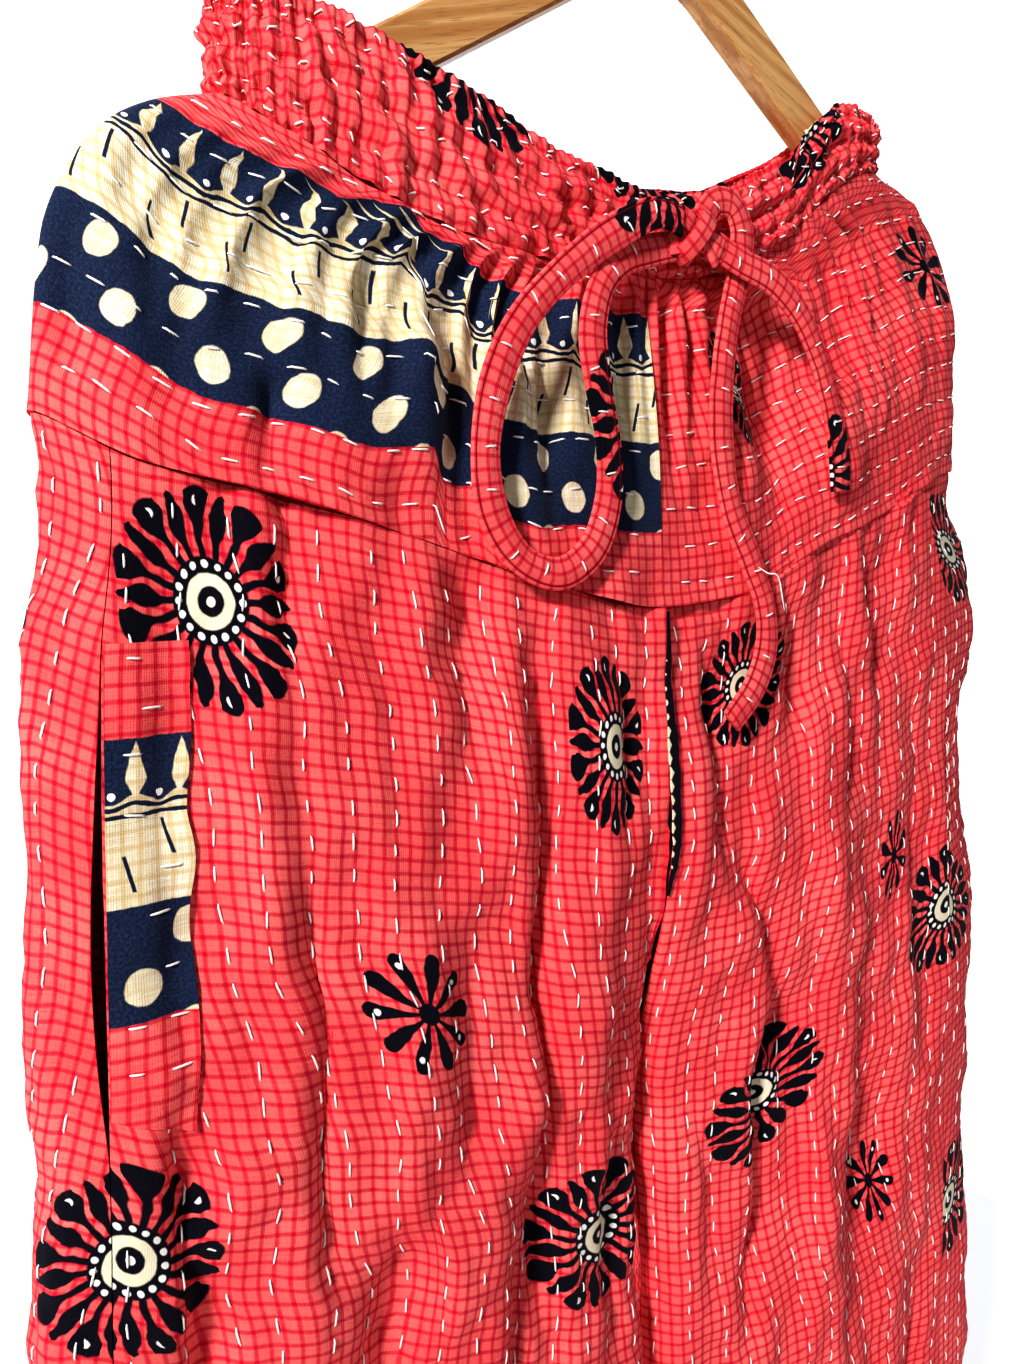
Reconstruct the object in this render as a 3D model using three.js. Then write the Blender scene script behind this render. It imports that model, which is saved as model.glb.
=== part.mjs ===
// Gathered cotton pants with a drawstring, hanging flat from a wooden coat hanger.
// Millimetres, +Z up, the front faces -Y. The origin is the inside top of the hanger's hook.
// The garment is worked out from its own frame: x from the centre seam, y from the middle plane
// and z from the lowest point of the front waist edge. It is moved under the hook at the end.

import * as THREE from 'three';
import { mergeVertices } from 'three/addons/utils/BufferGeometryUtils.js';

// Driving sizes of the cloth
const wall = 2;
const seamGap = 0.3;
const patchThickness = 1;
const crotchHeight = -435;
const crotchBlendTop = -285;
const hemHeight = -930;
const sideBoxiness = 4;
const seamReach = 70;
const seamCalm = 0.65;
const halfGap = seamGap / 2;

// Where the garment hangs below the hook, and how far the centre seam is from the hook's middle
const waistBelowHook = 215;
const hangerCentre = 30;

// Hanger sizes
const arm = {
  reach: 211, slope: 0.66, low: 118, depth: 24, thickness: 12, bevel: 1.4, neckHeight: 42, neckWidth: 34,
};
const hook = { rod: 2, bend: 20 };

// Drawstring, a flat tube
const cord = { width: 15, thickness: 3.4, corner: 1.5 };

// Half ring of the waistband. Across runs from the left side (-1) to the right side (1).
const bandHalfWidth = { left: 187, right: 188 };
const bandDepth = 22;
const band = { gathers: 92, gatherHeight: 1.1, puff: 2.2, edge: 0.3 };
const waist = [
  { across: -1.00, frontTop: 36, frontLow: 4, backTop: 36 },
  { across: -0.85, frontTop: 38, frontLow: -11, backTop: 39 },
  { across: -0.64, frontTop: 30, frontLow: -28, backTop: 36 },
  { across: -0.42, frontTop: 17, frontLow: -37, backTop: 28 },
  { across: -0.20, frontTop: 5, frontLow: -39, backTop: 22 },
  { across: 0.04, frontTop: 0, frontLow: -38, backTop: 19 },
  { across: 0.25, frontTop: 8, frontLow: -31, backTop: 22 },
  { across: 0.48, frontTop: 28, frontLow: -9, backTop: 34 },
  { across: 0.64, frontTop: 57, frontLow: 14, backTop: 49 },
  { across: 0.78, frontTop: 73, frontLow: 33, backTop: 64 },
  { across: 1.00, frontTop: 76, frontLow: 49.2, backTop: 76 },
];
const backBandHeight = 40;

// Yoke seam, where the legs are sewn on
const yokeSeam = [
  { across: -1.00, z: -113 },
  { across: -0.88, z: -130 },
  { across: -0.72, z: -140 },
  { across: -0.44, z: -160 },
  { across: -0.25, z: -175 },
  { across: 0.00, z: -187 },
  { across: 0.20, z: -182 },
  { across: 0.42, z: -159 },
  { across: 0.64, z: -141 },
  { across: 0.82, z: -122 },
  { across: 1.00, z: -111 },
];

// Outline of the yoke's sides. Down runs from the waistband (0) to the yoke seam (1).
const yokeOutline = [
  { down: 0.00, left: 187, right: 188, depth: 22 },
  { down: 0.06, left: 208, right: 222, depth: 24 },
  { down: 0.15, left: 224, right: 243, depth: 26 },
  { down: 0.32, left: 239, right: 258, depth: 28 },
  { down: 0.50, left: 247, right: 263, depth: 29 },
  { down: 1.00, left: 255, right: 262, depth: 30 },
];
const yokeGathers = { count: 15, height: 3.2, fade: 1.6 };

// Outline of the legs' sides, and of their inner edges below the crotch
const legOutline = [
  { z: -111, left: 255, right: 262, inner: 0, depth: 30 },
  { z: -165, left: 260, right: 277, inner: 0, depth: 31 },
  { z: -205, left: 264, right: 283, inner: 0, depth: 32 },
  { z: -280, left: 269, right: 274, inner: 0, depth: 33 },
  { z: -385, left: 274, right: 280, inner: 0, depth: 33 },
  { z: -435, left: 277, right: 279, inner: 0.6, depth: 32 },
  { z: -520, left: 279, right: 273, inner: 2, depth: 31 },
  { z: -710, left: 278, right: 276, inner: 8, depth: 29 },
  { z: -930, left: 272, right: 272, inner: 16, depth: 27 },
];

// Folds of the legs. Out is how far a ridge stands out, and a negative one is a trough.
const folds = [
  { side: -1, face: -1, top: -170, low: -400, xTop: 60, xLow: 67, width: 10, out: -7 },
  { side: -1, face: -1, top: -175, low: -330, xTop: 92, xLow: 96, width: 20, out: 4 },
  { side: -1, face: -1, top: -250, low: -470, xTop: 175, xLow: 172, width: 13, out: -6 },
  { side: -1, face: -1, top: -270, low: -560, xTop: 138, xLow: 128, width: 22, out: 4 },
  { side: -1, face: -1, top: -380, low: -620, xTop: 82, xLow: 92, width: 12, out: -6 },
  { side: -1, face: -1, top: -480, low: -930, xTop: 200, xLow: 212, width: 20, out: 5 },
  { side: -1, face: -1, top: -560, low: -930, xTop: 120, xLow: 142, width: 16, out: -6 },
  { side: -1, face: -1, top: -640, low: -930, xTop: 62, xLow: 74, width: 20, out: 5 },
  { side: 1, face: -1, top: -200, low: -330, xTop: 34, xLow: 40, width: 11, out: -4 },
  { side: 1, face: -1, top: -290, low: -430, xTop: 66, xLow: 82, width: 12, out: -7 },
  { side: 1, face: -1, top: -210, low: -400, xTop: 104, xLow: 120, width: 20, out: 4 },
  { side: 1, face: -1, top: -380, low: -600, xTop: 64, xLow: 78, width: 12, out: -7 },
  { side: 1, face: -1, top: -330, low: -560, xTop: 140, xLow: 152, width: 20, out: -4 },
  { side: 1, face: -1, top: -520, low: -930, xTop: 116, xLow: 128, width: 22, out: 6 },
  { side: 1, face: -1, top: -560, low: -930, xTop: 188, xLow: 206, width: 18, out: -6 },
  { side: 1, face: -1, top: -620, low: -930, xTop: 60, xLow: 70, width: 16, out: -5 },
  { side: -1, face: 1, top: -180, low: -420, xTop: 80, xLow: 92, width: 16, out: -6 },
  { side: -1, face: 1, top: -240, low: -600, xTop: 150, xLow: 160, width: 20, out: 5 },
  { side: -1, face: 1, top: -480, low: -930, xTop: 90, xLow: 110, width: 18, out: -6 },
  { side: -1, face: 1, top: -560, low: -930, xTop: 190, xLow: 206, width: 20, out: 5 },
  { side: 1, face: 1, top: -180, low: -440, xTop: 96, xLow: 104, width: 16, out: -6 },
  { side: 1, face: 1, top: -260, low: -640, xTop: 168, xLow: 180, width: 20, out: 5 },
  { side: 1, face: 1, top: -460, low: -930, xTop: 70, xLow: 96, width: 18, out: -6 },
  { side: 1, face: 1, top: -600, low: -930, xTop: 150, xLow: 160, width: 20, out: 5 },
];

// Pleats and deep gathers of the yokes, with x as a share of the half width
const yokeFolds = [
  { side: -1, face: -1, top: 0.55, low: 1.00, at: 0.71, width: 0.030, out: -4 },
  { side: -1, face: -1, top: 0.35, low: 1.00, at: 0.44, width: 0.035, out: 4 },
  { side: -1, face: -1, top: 0.20, low: 0.95, at: 0.24, width: 0.030, out: -4 },
  { side: 1, face: -1, top: 0.05, low: 0.80, at: 0.16, width: 0.030, out: -4 },
  { side: 1, face: -1, top: 0.10, low: 1.00, at: 0.36, width: 0.060, out: -7 },
  { side: 1, face: -1, top: 0.10, low: 0.90, at: 0.52, width: 0.040, out: 4 },
  { side: -1, face: 1, top: 0.10, low: 0.90, at: 0.34, width: 0.045, out: -5 },
  { side: 1, face: 1, top: 0.10, low: 0.90, at: 0.42, width: 0.045, out: -5 },
];

// Pocket mouths on the front, as shares of the half width where the side seams run
const sideSeamEase = 0.001;
const sideSeamShare = { left: 0.915, right: 0.815 };
const pocket = { top: -189, low: -366, gape: 3.4, lift: 3, liftReach: 0.10 };
const facing = { top: -191, low: -352, inner: 0.805, slant: 12 };

// Strip of the border's edge that shows in the front seam
const seamStrip = { top: -189, low: -322, width: 6.4, columns: 4, rows: 8 };

// Steps of the meshes
const legColumns = 17;
const yokeRows = 7;
const sideColumns = 4;

const red = 0xf0605a;
const deepRed = 0xe04848;
const navy = 0x1d2640;
const cream = 0xe8d7a5;
const wood = 0xc8965a;
const steel = 0xb8bcc0;

function material(color, roughness = 0.9, metalness = 0) {
  return new THREE.MeshStandardMaterial({ color, roughness, metalness });
}

// Reads one column of a table at a place, with a monotone cubic between the rows
function read(table, key, at, column) {
  const last = table.length - 1;
  const sign = table[last][key] > table[0][key] ? 1 : -1;
  const place = table.map((row) => row[key] * sign);
  const value = table.map((row) => row[column]);
  const x = THREE.MathUtils.clamp(at * sign, place[0], place[last]);
  let i = 0;
  while (i < last - 1 && x > place[i + 1]) i += 1;
  const rise = (k) => (value[k + 1] - value[k]) / (place[k + 1] - place[k]);
  const tangent = (k) => {
    if (k === 0) return rise(0);
    if (k === last) return rise(last - 1);
    const [a, b] = [rise(k - 1), rise(k)];
    return a * b <= 0 ? 0 : 2 * a * b / (a + b);
  };
  const step = place[i + 1] - place[i];
  const t = (x - place[i]) / step;
  const [t2, t3] = [t * t, t * t * t];
  return (2 * t3 - 3 * t2 + 1) * value[i] + (t3 - 2 * t2 + t) * step * tangent(i)
    + (3 * t2 - 2 * t3) * value[i + 1] + (t3 - t2) * step * tangent(i + 1);
}

const smooth = THREE.MathUtils.smoothstep;
const lerp = THREE.MathUtils.lerp;
const nameOf = (side) => (side < 0 ? 'left' : 'right');
const bump = (distance, width) => Math.exp(-((distance / width) ** 2));

// How far the cloth is from the middle plane, 0 at a fold of the side and 1 in the middle
const profile = (share) => Math.sqrt(Math.max(0, 1 - Math.abs(share) ** sideBoxiness));

// Height of a fold along its length: it rises and dies away softly
function foldEnvelope(z, top, low) {
  const length = Math.abs(top - low);
  const soft = length * 0.35;
  const from = Math.abs(z - top);
  const into = (z - top) * Math.sign(low - top);
  const rest = length - from;
  const open = low === hemHeight ? 1 : smooth(rest, 0, soft);
  return into < 0 ? 0 : smooth(from, 0, soft) * open;
}

function waistEdge(across, face, column) {
  if (face < 0) return read(waist, 'across', across, column === 'top' ? 'frontTop' : 'frontLow');
  const top = read(waist, 'across', across, 'backTop');
  const sideLow = read(waist, 'across', Math.sign(across), 'frontLow');
  const sideTop = read(waist, 'across', Math.sign(across), 'backTop');
  const height = lerp(backBandHeight, sideTop - sideLow, Math.abs(across) ** 6);
  return column === 'top' ? top : top - height;
}

// Shares of the half width, close together at both ends so that the folds are round
function shares(from, to, steps) {
  const eased = (k) => (1 - Math.cos(Math.PI * k / steps)) / 2;
  return Array.from({ length: steps + 1 }, (_, k) => from + (to - from) * eased(k));
}

// The legs' columns along the yoke seam, from the centre to the side
function seamColumns(side, face) {
  const seam = sideSeamShare[nameOf(side)];
  const all = shares(0, 1, legColumns);
  if (face > 0) return all;
  const wrap = shares(1, seam, sideColumns + 1).reverse();
  return [...all.filter((share) => share < seam - 0.01), ...wrap];
}

// Height of the yoke seam, straight between the legs' columns so that both edges meet all along
function seamHeight(side, face, share) {
  const columns = seamColumns(side, face);
  let k = 0;
  while (k < columns.length - 2 && share > columns[k + 1]) k += 1;
  const height = (at) => read(yokeSeam, 'across', side * at, 'z');
  const part = (share - columns[k]) / (columns[k + 1] - columns[k]);
  return lerp(height(columns[k]), height(columns[k + 1]), part);
}

// How far the pleats and deep gathers of a yoke stand out at a point
function yokeFoldOut(side, face, share, down) {
  let out = 0;
  for (const fold of yokeFolds) {
    if (fold.side !== side || fold.face !== face) continue;
    const into = smooth(down, fold.top, fold.top + 0.25) * (1 - seamCalm * smooth(down, 0.75, 1));
    out += fold.out * into * bump(share - fold.at, fold.width) * Math.min(1, 6 * (1 - share));
  }
  return out;
}

// A point of the yoke: side -1 or 1, face -1 for the front, share of the half width, and down
function yokePoint(side, face, share, down) {
  const across = side * share;
  const z = lerp(waistEdge(across, face, 'low') - seamGap, seamHeight(side, face, share), down);
  const half = read(yokeOutline, 'down', down, nameOf(side));
  const depth = read(yokeOutline, 'down', down, 'depth');
  const fade = Math.max(0, 1 - down * yokeGathers.fade) * Math.min(1, 4 * (1 - share));
  const gather = yokeGathers.height * fade * Math.cos(2 * Math.PI * (yokeGathers.count * share + 0.5));
  const out = gather + yokeFoldOut(side, face, share, down);
  return new THREE.Vector3(side * half * share, face * (depth * profile(share) + out), z);
}

// A point of a leg. Above the crotch the two legs are one body, and below it each is a tube.
function legPoint(side, face, share, z) {
  const seamZ = seamHeight(side, face, share);
  const free = smooth(seamZ - z, 0, seamReach);
  const yokeEnd = yokeOutline[yokeOutline.length - 1];
  const half = lerp(yokeEnd[nameOf(side)], read(legOutline, 'z', z, nameOf(side)), free);
  const inner = halfGap + read(legOutline, 'z', z, 'inner');
  const depth = lerp(yokeEnd.depth, read(legOutline, 'z', z, 'depth'), free);
  const tube = smooth(-z, -crotchBlendTop, -crotchHeight);
  const x = inner + (half - inner) * share;
  let y = depth * lerp(profile(share), profile(2 * share - 1), tube);
  y += (1 - free) * yokeFoldOut(side, face, share, 1);
  const calm = Math.min(1, 6 * (1 - share)) * lerp(1, Math.min(1, 8 * share), tube);
  for (const fold of folds) {
    if (fold.side !== side || fold.face !== face) continue;
    const along = (z - fold.top) / (fold.low - fold.top);
    const middle = lerp(fold.xTop, fold.xLow, along);
    y += fold.out * calm * foldEnvelope(z, fold.top, fold.low) * bump(x - middle, fold.width);
  }
  return new THREE.Vector3(side * x, face * y, z);
}

// Heights of the legs' rows where the yoke seam is lowest
const legRows = [-187, -217, -250, -285, -320, -354, -386, -412, -430, -448, -480, -530, -600, -680,
  -765, -850, hemHeight];

// The leg's rows start on the yoke seam, so each row bends a little less than the one above it
function legRowHeight(side, face, share, row) {
  const start = seamHeight(side, face, share) - seamGap;
  const low = row / (legRows.length - 1);
  return lerp(start, legRows[row], smooth(low, 0, 0.35));
}

// Closed wall from a grid of outer points. Rows run down and columns run left to right as seen
// from outside, so that the faces point out. Each edge is drawn back by half a seam's gap.
function wallGeometry(grid, thickness, keepSide = null) {
  const [rows, columns] = [grid.length, grid[0].length];
  const outer = grid.map((row) => row.map((p) => p.clone()));
  const pull = (target, from, to) => {
    const way = to.clone().sub(from);
    target.addScaledVector(way, halfGap / Math.max(way.length(), halfGap));
  };
  for (let r = 0; r < rows; r += 1) {
    pull(outer[r][0], grid[r][0], grid[r][1]);
    pull(outer[r][columns - 1], grid[r][columns - 1], grid[r][columns - 2]);
  }
  for (let c = 0; c < columns; c += 1) {
    pull(outer[0][c], grid[0][c], grid[1][c]);
    pull(outer[rows - 1][c], grid[rows - 1][c], grid[rows - 2][c]);
  }
  const normal = (r, c) => {
    const along = outer[r][Math.min(c + 1, columns - 1)].clone().sub(outer[r][Math.max(c - 1, 0)]);
    const down = outer[Math.min(r + 1, rows - 1)][c].clone().sub(outer[Math.max(r - 1, 0)][c]);
    return down.cross(along).normalize();
  };
  const inner = outer.map((row, r) => row.map((p, c) => p.clone().addScaledVector(normal(r, c), -thickness)));
  if (keepSide) {
    outer.flat().forEach(keepSide);
    inner.flat().forEach(keepSide);
  }
  const points = [...outer.flat(), ...inner.flat()];
  const [o, i] = [(r, c) => r * columns + c, (r, c) => rows * columns + r * columns + c];
  const faces = [];
  const quad = (a, b, c, d) => faces.push(a, b, c, a, c, d);
  for (let r = 0; r < rows - 1; r += 1) {
    for (let c = 0; c < columns - 1; c += 1) {
      quad(o(r, c), o(r + 1, c), o(r + 1, c + 1), o(r, c + 1));
      quad(i(r, c), i(r, c + 1), i(r + 1, c + 1), i(r + 1, c));
    }
    quad(o(r, 0), i(r, 0), i(r + 1, 0), o(r + 1, 0));
    quad(o(r, columns - 1), o(r + 1, columns - 1), i(r + 1, columns - 1), i(r, columns - 1));
  }
  for (let c = 0; c < columns - 1; c += 1) {
    quad(o(0, c), o(0, c + 1), i(0, c + 1), i(0, c));
    quad(o(rows - 1, c), i(rows - 1, c), i(rows - 1, c + 1), o(rows - 1, c + 1));
  }
  return solid(points, faces);
}

function solid(points, faces) {
  const geometry = new THREE.BufferGeometry();
  geometry.setAttribute('position', new THREE.Float32BufferAttribute(points.flatMap((p) => p.toArray()), 3));
  geometry.setIndex(faces);
  return geometry;
}

// Columns of a panel in order from left to right as seen from outside
function inViewOrder(side, face, columns) {
  return side * face > 0 ? [...columns].reverse() : columns;
}

const cloth = new THREE.Group();
cloth.position.set(-hangerCentre, 0, -waistBelowHook);

function add(group, name, geometry, finish) {
  const mesh = new THREE.Mesh(geometry, finish);
  mesh.name = name;
  group.add(mesh);
}

// Waistband: two puffed channels with fine gathers, one half ring for the front and one for the back
function bandRing(face) {
  const waves = band.gathers / 2;
  const columns = waves * 2;
  const levels = [
    { low: 0, out: 0 }, { low: 0.25, out: band.puff }, { low: 0.5, out: band.edge },
    { low: 0.75, out: band.puff }, { low: 1, out: 0 }, { low: 1, out: -wall }, { low: 0.5, out: -wall },
    { low: 0, out: -wall },
  ];
  const points = [];
  for (let c = 0; c <= columns; c += 1) {
    const angle = Math.PI * (c / columns - 0.5) * -face;
    const across = THREE.MathUtils.clamp(Math.sin(angle), -1, 1);
    const half = across < 0 ? bandHalfWidth.left : bandHalfWidth.right;
    const ends = c === 0 || c === columns;
    const gather = ends ? 0 : band.gatherHeight * (c % 2 ? 1 : -1);
    const [top, low] = [waistEdge(across, face, 'top'), waistEdge(across, face, 'low')];
    const sideways = Math.sign(across) * Math.abs(across) ** 12;
    const outward = new THREE.Vector3(sideways, face * Math.sqrt(1 - across ** 24), 0);
    for (const level of levels) {
      const height = lerp(top, low, level.low);
      const p = new THREE.Vector3(half * across, face * bandDepth * profile(across), height);
      p.addScaledVector(outward, level.out + gather);
      p.y = face * Math.max(Math.abs(p.y), halfGap);
      if (ends) p.y = face * halfGap;
      points.push(p);
    }
  }
  const n = levels.length;
  const faces = [];
  for (let c = 0; c < columns; c += 1) {
    for (let k = 0; k < n; k += 1) {
      const [a, b] = [c * n + k, c * n + (k + 1) % n];
      faces.push(a, b, b + n, a, b + n, a + n);
    }
  }
  for (let k = 1; k < n - 1; k += 1) {
    faces.push(0, k + 1, k);
    faces.push(columns * n, columns * n + k, columns * n + k + 1);
  }
  return solid(points, faces);
}

function addWaistband() {
  add(cloth, 'waistband_front', bandRing(-1), material(red));
  add(cloth, 'waistband_back', bandRing(1), material(red));
}

// Yokes: each half is gathered into the waistband
function yokePanel(side, face) {
  const ridges = Array.from({ length: yokeGathers.count * 2 }, (_, k) => k / (yokeGathers.count * 2));
  const list = [...ridges, ...shares(1 - 0.5 / yokeGathers.count, 1, sideColumns).slice(1)];
  const columns = inViewOrder(side, face, list);
  const grid = Array.from({ length: yokeRows + 1 }, (_, r) => {
    const down = (r / yokeRows) ** 1.4;
    return columns.map((share) => yokePoint(side, face, share, down));
  });
  const keepSide = (p) => {
    p.y = face * Math.max(face * p.y, halfGap);
    p.x = side * Math.max(side * p.x, halfGap);
  };
  return wallGeometry(grid, wall, keepSide);
}

function addYokes() {
  add(cloth, 'yoke_front_left', yokePanel(-1, -1), material(cream));
  add(cloth, 'yoke_front_right', yokePanel(1, -1), material(red));
  add(cloth, 'yoke_back_left', yokePanel(-1, 1), material(red));
  add(cloth, 'yoke_back_right', yokePanel(1, 1), material(red));
}

// How far a pocket's mouth is open at a height: it gapes most below its middle
function mouth(z) {
  const along = (z - pocket.top) / (pocket.low - pocket.top);
  return along <= 0 || along >= 1 ? 0 : Math.sin(Math.PI * along ** 1.5);
}

// A front panel ends at the side seam, where its edge is lifted along the pocket's mouth
function frontLegPoint(side, share, z) {
  const seam = sideSeamShare[nameOf(side)];
  const p = legPoint(side, -1, share, z);
  p.y -= pocket.lift * mouth(z) * smooth(share, seam - pocket.liftReach, seam);
  return p;
}

function frontLeg(side) {
  const seam = sideSeamShare[nameOf(side)];
  const list = shares(0, 1, legColumns).filter((share) => share < seam - 0.01);
  const columns = inViewOrder(side, -1, [...list, seam - sideSeamEase]);
  const point = (share, row) => frontLegPoint(side, share, legRowHeight(side, -1, share, row));
  const grid = legRows.map((_, r) => columns.map((share) => point(share, r)));
  return wallGeometry(grid, wall, (p) => keepOffMiddle(p, side, -1));
}

// Near the middle of the garment a panel keeps to its own side of the seams it meets there
function keepOffMiddle(p, side, face) {
  p.x = side * Math.max(side * p.x, halfGap);
  const nearInner = Math.abs(p.x) < 0.3 * legOutline[0].left;
  if (nearInner) p.y = face * Math.max(face * p.y, halfGap);
}

// A back panel goes round the side and ends on the front, beside the pocket's mouth
function backLeg(side) {
  const seam = sideSeamShare[nameOf(side)];
  const list = shares(0, 1, legColumns).map((share) => ({ share, face: 1 }));
  const wrap = shares(1, seam, sideColumns + 1).slice(1).map((share) => ({ share, face: -1 }));
  const columns = inViewOrder(side, 1, [...list, ...wrap]);
  const half = legOutline[3][nameOf(side)];
  const grid = legRows.map((_, r) => columns.map(({ share, face }) => {
    const z = legRowHeight(side, face, share, r);
    const drawn = face < 0 ? pocket.gape * mouth(z) / half * smooth(1 - share, 0, 1 - seam) : 0;
    return legPoint(side, face, share + drawn, z);
  }));
  return wallGeometry(grid, wall, (p) => keepOffMiddle(p, side, 1));
}

function addLegs() {
  add(cloth, 'leg_front_left', frontLeg(-1), material(red));
  add(cloth, 'leg_front_right', frontLeg(1), material(red));
  add(cloth, 'leg_back_left', backLeg(-1), material(deepRed));
  add(cloth, 'leg_back_right', backLeg(1), material(deepRed));
}

// Moves a patch's points out from the panel that it lies on
function lifted(p, distance) {
  return new THREE.Vector3(p.x, p.y - distance, p.z);
}

function addPocketFacing() {
  const outer = sideSeamShare.left - 0.004;
  const columns = [outer, lerp(outer, facing.inner, 0.5), facing.inner];
  const grid = Array.from({ length: 8 }, (_, r) => columns.map((share, c) => {
    const z = lerp(facing.top, facing.low - (c === 0 ? 0 : facing.slant), r / 7);
    return lifted(frontLegPoint(-1, share, z), seamGap + 0.6 + patchThickness);
  }));
  add(cloth, 'pocket_facing', wallGeometry(grid, patchThickness), material(cream));
}

function addSeamStrip() {
  const { top, low, width, columns, rows } = seamStrip;
  const grid = Array.from({ length: rows + 1 }, (_, r) => {
    const z = lerp(top, low, r / rows);
    const half = 0.5 + width / 2 * Math.sin(Math.PI * (r / rows) ** 1.3);
    return Array.from({ length: columns + 1 }, (_, c) => {
      const x = lerp(-half, half, c / columns);
      const p = legPoint(x < 0 ? -1 : 1, -1, Math.abs(x) / legOutline[0].left, z);
      return new THREE.Vector3(x, p.y - seamGap - 0.6 - patchThickness, z);
    });
  });
  add(cloth, 'front_seam_strip', wallGeometry(grid, patchThickness), material(navy));
}

// Drawstring routes, x and z from the centre of the waist and y in front of the cloth
const loopRoute = [
  [8.5, -37, -18], [-6, -38, -17], [-32, -38, -30], [-60, -38, -51], [-81, -38, -73], [-94, -38, -99],
  [-99, -38, -127], [-95, -38, -150], [-82, -38, -166], [-64, -38, -171], [-47, -38, -161], [-38, -38, -141],
  [-37, -38, -118], [-42, -38, -92], [-44, -38, -71], [-38, -37, -52], [-24, -34, -38], [-6, -31.5, -31],
  [7.6, -31.5, -27],
];
const longTailRoute = [
  [25.6, -32, -13.6], [34.5, -32, -3.5], [45, -32, -3], [51, -32, -12], [50, -32.5, -26], [44, -34, -42],
  [37, -36, -60], [32, -37, -84], [31, -37, -111], [37, -37, -142], [49, -38, -168], [57, -39, -190],
  [57, -39, -210], [48, -39, -228], [33, -39, -242],
];
const shortTailRoute = [
  [28.8, -36.5, -24.6], [43, -38.3, -30.5], [64, -39, -36], [82, -39, -48], [97, -38.5, -68], [107, -38, -90],
  [113, -38, -112], [115, -37.5, -132],
];

function cordTube(route) {
  const curve = new THREE.CatmullRomCurve3(route.map((p) => new THREE.Vector3(...p)), false, 'centripetal');
  const [t, w, k] = [cord.thickness / 2, cord.width / 2, cord.corner];
  const section = new THREE.Shape([
    new THREE.Vector2(-t, -w + k), new THREE.Vector2(-t + 0.6, -w), new THREE.Vector2(t - 0.6, -w),
    new THREE.Vector2(t, -w + k), new THREE.Vector2(t, w - k), new THREE.Vector2(t - 0.6, w),
    new THREE.Vector2(-t + 0.6, w), new THREE.Vector2(-t, w - k),
  ]);
  const steps = Math.round(curve.getLength() / (cord.width * 0.9));
  return new THREE.ExtrudeGeometry(section, { extrudePath: curve, steps, bevelEnabled: false });
}

function addDrawstring() {
  add(cloth, 'drawstring_loop', cordTube(loopRoute), material(red));
  add(cloth, 'drawstring_long_tail', cordTube(longTailRoute), material(red));
  add(cloth, 'drawstring_short_tail', cordTube(shortTailRoute), material(red));
  const knot = new THREE.SphereGeometry(1, 14, 9);
  knot.scale(11.5, 7.5, 10);
  knot.rotateY(THREE.MathUtils.degToRad(20));
  knot.translate(18.5, -32.2, -21);
  add(cloth, 'drawstring_knot', knot, material(deepRed));
}

// Hanger: two flat arms that slope from the neck into the waist, in one piece of wood
function addHanger() {
  const { reach, slope, low, depth, thickness, bevel, neckHeight, neckWidth } = arm;
  const rise = depth * Math.hypot(1, slope);
  const outline = new THREE.Shape();
  const end = low - slope * reach;
  outline.moveTo(-reach, end + 3);
  outline.quadraticCurveTo(-reach + 2, end - 1, -reach + 9, end + 5);
  outline.lineTo(-22, low - slope * 22);
  outline.quadraticCurveTo(0, low - 2, 22, low - slope * 22);
  outline.lineTo(reach - 9, end + 5);
  outline.quadraticCurveTo(reach - 2, end - 1, reach, end + 3);
  outline.quadraticCurveTo(reach + 2, end + rise * 0.7, reach - 10, end + rise + 2);
  outline.lineTo(neckWidth + 8, low + rise - slope * (neckWidth + 8));
  outline.quadraticCurveTo(neckWidth / 2, low + rise - 4, neckWidth / 2 - 5, low + neckHeight);
  outline.lineTo(-neckWidth / 2 + 5, low + neckHeight);
  const shoulder = low + rise - slope * (neckWidth + 8);
  outline.quadraticCurveTo(-neckWidth / 2, low + rise - 4, -neckWidth - 8, shoulder);
  outline.lineTo(-reach + 10, end + rise + 2);
  outline.quadraticCurveTo(-reach - 2, end + rise * 0.7, -reach, end + 3);
  const geometry = new THREE.ExtrudeGeometry(outline, {
    depth: thickness - 2 * bevel, bevelThickness: bevel, bevelSize: bevel, bevelOffset: -bevel,
    bevelSegments: 1, curveSegments: 5,
  });
  geometry.translate(0, 0, -thickness / 2 + bevel);
  geometry.rotateX(Math.PI / 2);
  geometry.translate(0, 0, -waistBelowHook);
  add(body, 'hanger_arms', geometry, material(wood, 0.5));
}

function addHook() {
  const centre = -(hook.bend - hook.rod);
  const neckTop = arm.low + arm.neckHeight - waistBelowHook;
  const points = [
    new THREE.Vector3(0, 0, neckTop + seamGap),
    new THREE.Vector3(0, 0, centre - hook.bend - 8),
  ];
  for (let degrees = -50; degrees <= 205; degrees += 15) {
    const angle = THREE.MathUtils.degToRad(degrees);
    points.push(new THREE.Vector3(hook.bend * Math.cos(angle), 0, centre + hook.bend * Math.sin(angle)));
  }
  const curve = new THREE.CatmullRomCurve3(points, false, 'centripetal');
  const section = new THREE.Shape().absarc(0, 0, hook.rod, 0, 2 * Math.PI, false);
  const geometry = new THREE.ExtrudeGeometry(section, {
    extrudePath: curve, steps: 30, curveSegments: 4, bevelEnabled: false,
  });
  add(body, 'hanger_hook', geometry, material(steel, 0.35, 0.9));
}

const body = new THREE.Group();
addWaistband();
addYokes();
addLegs();
addPocketFacing();
addSeamStrip();
addDrawstring();
addHanger();
addHook();
body.add(cloth);

body.traverse((mesh) => {
  if (!mesh.isMesh) return;
  mesh.geometry.deleteAttribute('normal');
  mesh.geometry.deleteAttribute('uv');
  mesh.geometry = mergeVertices(mesh.geometry, 1e-3);
});

export default body;
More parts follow.
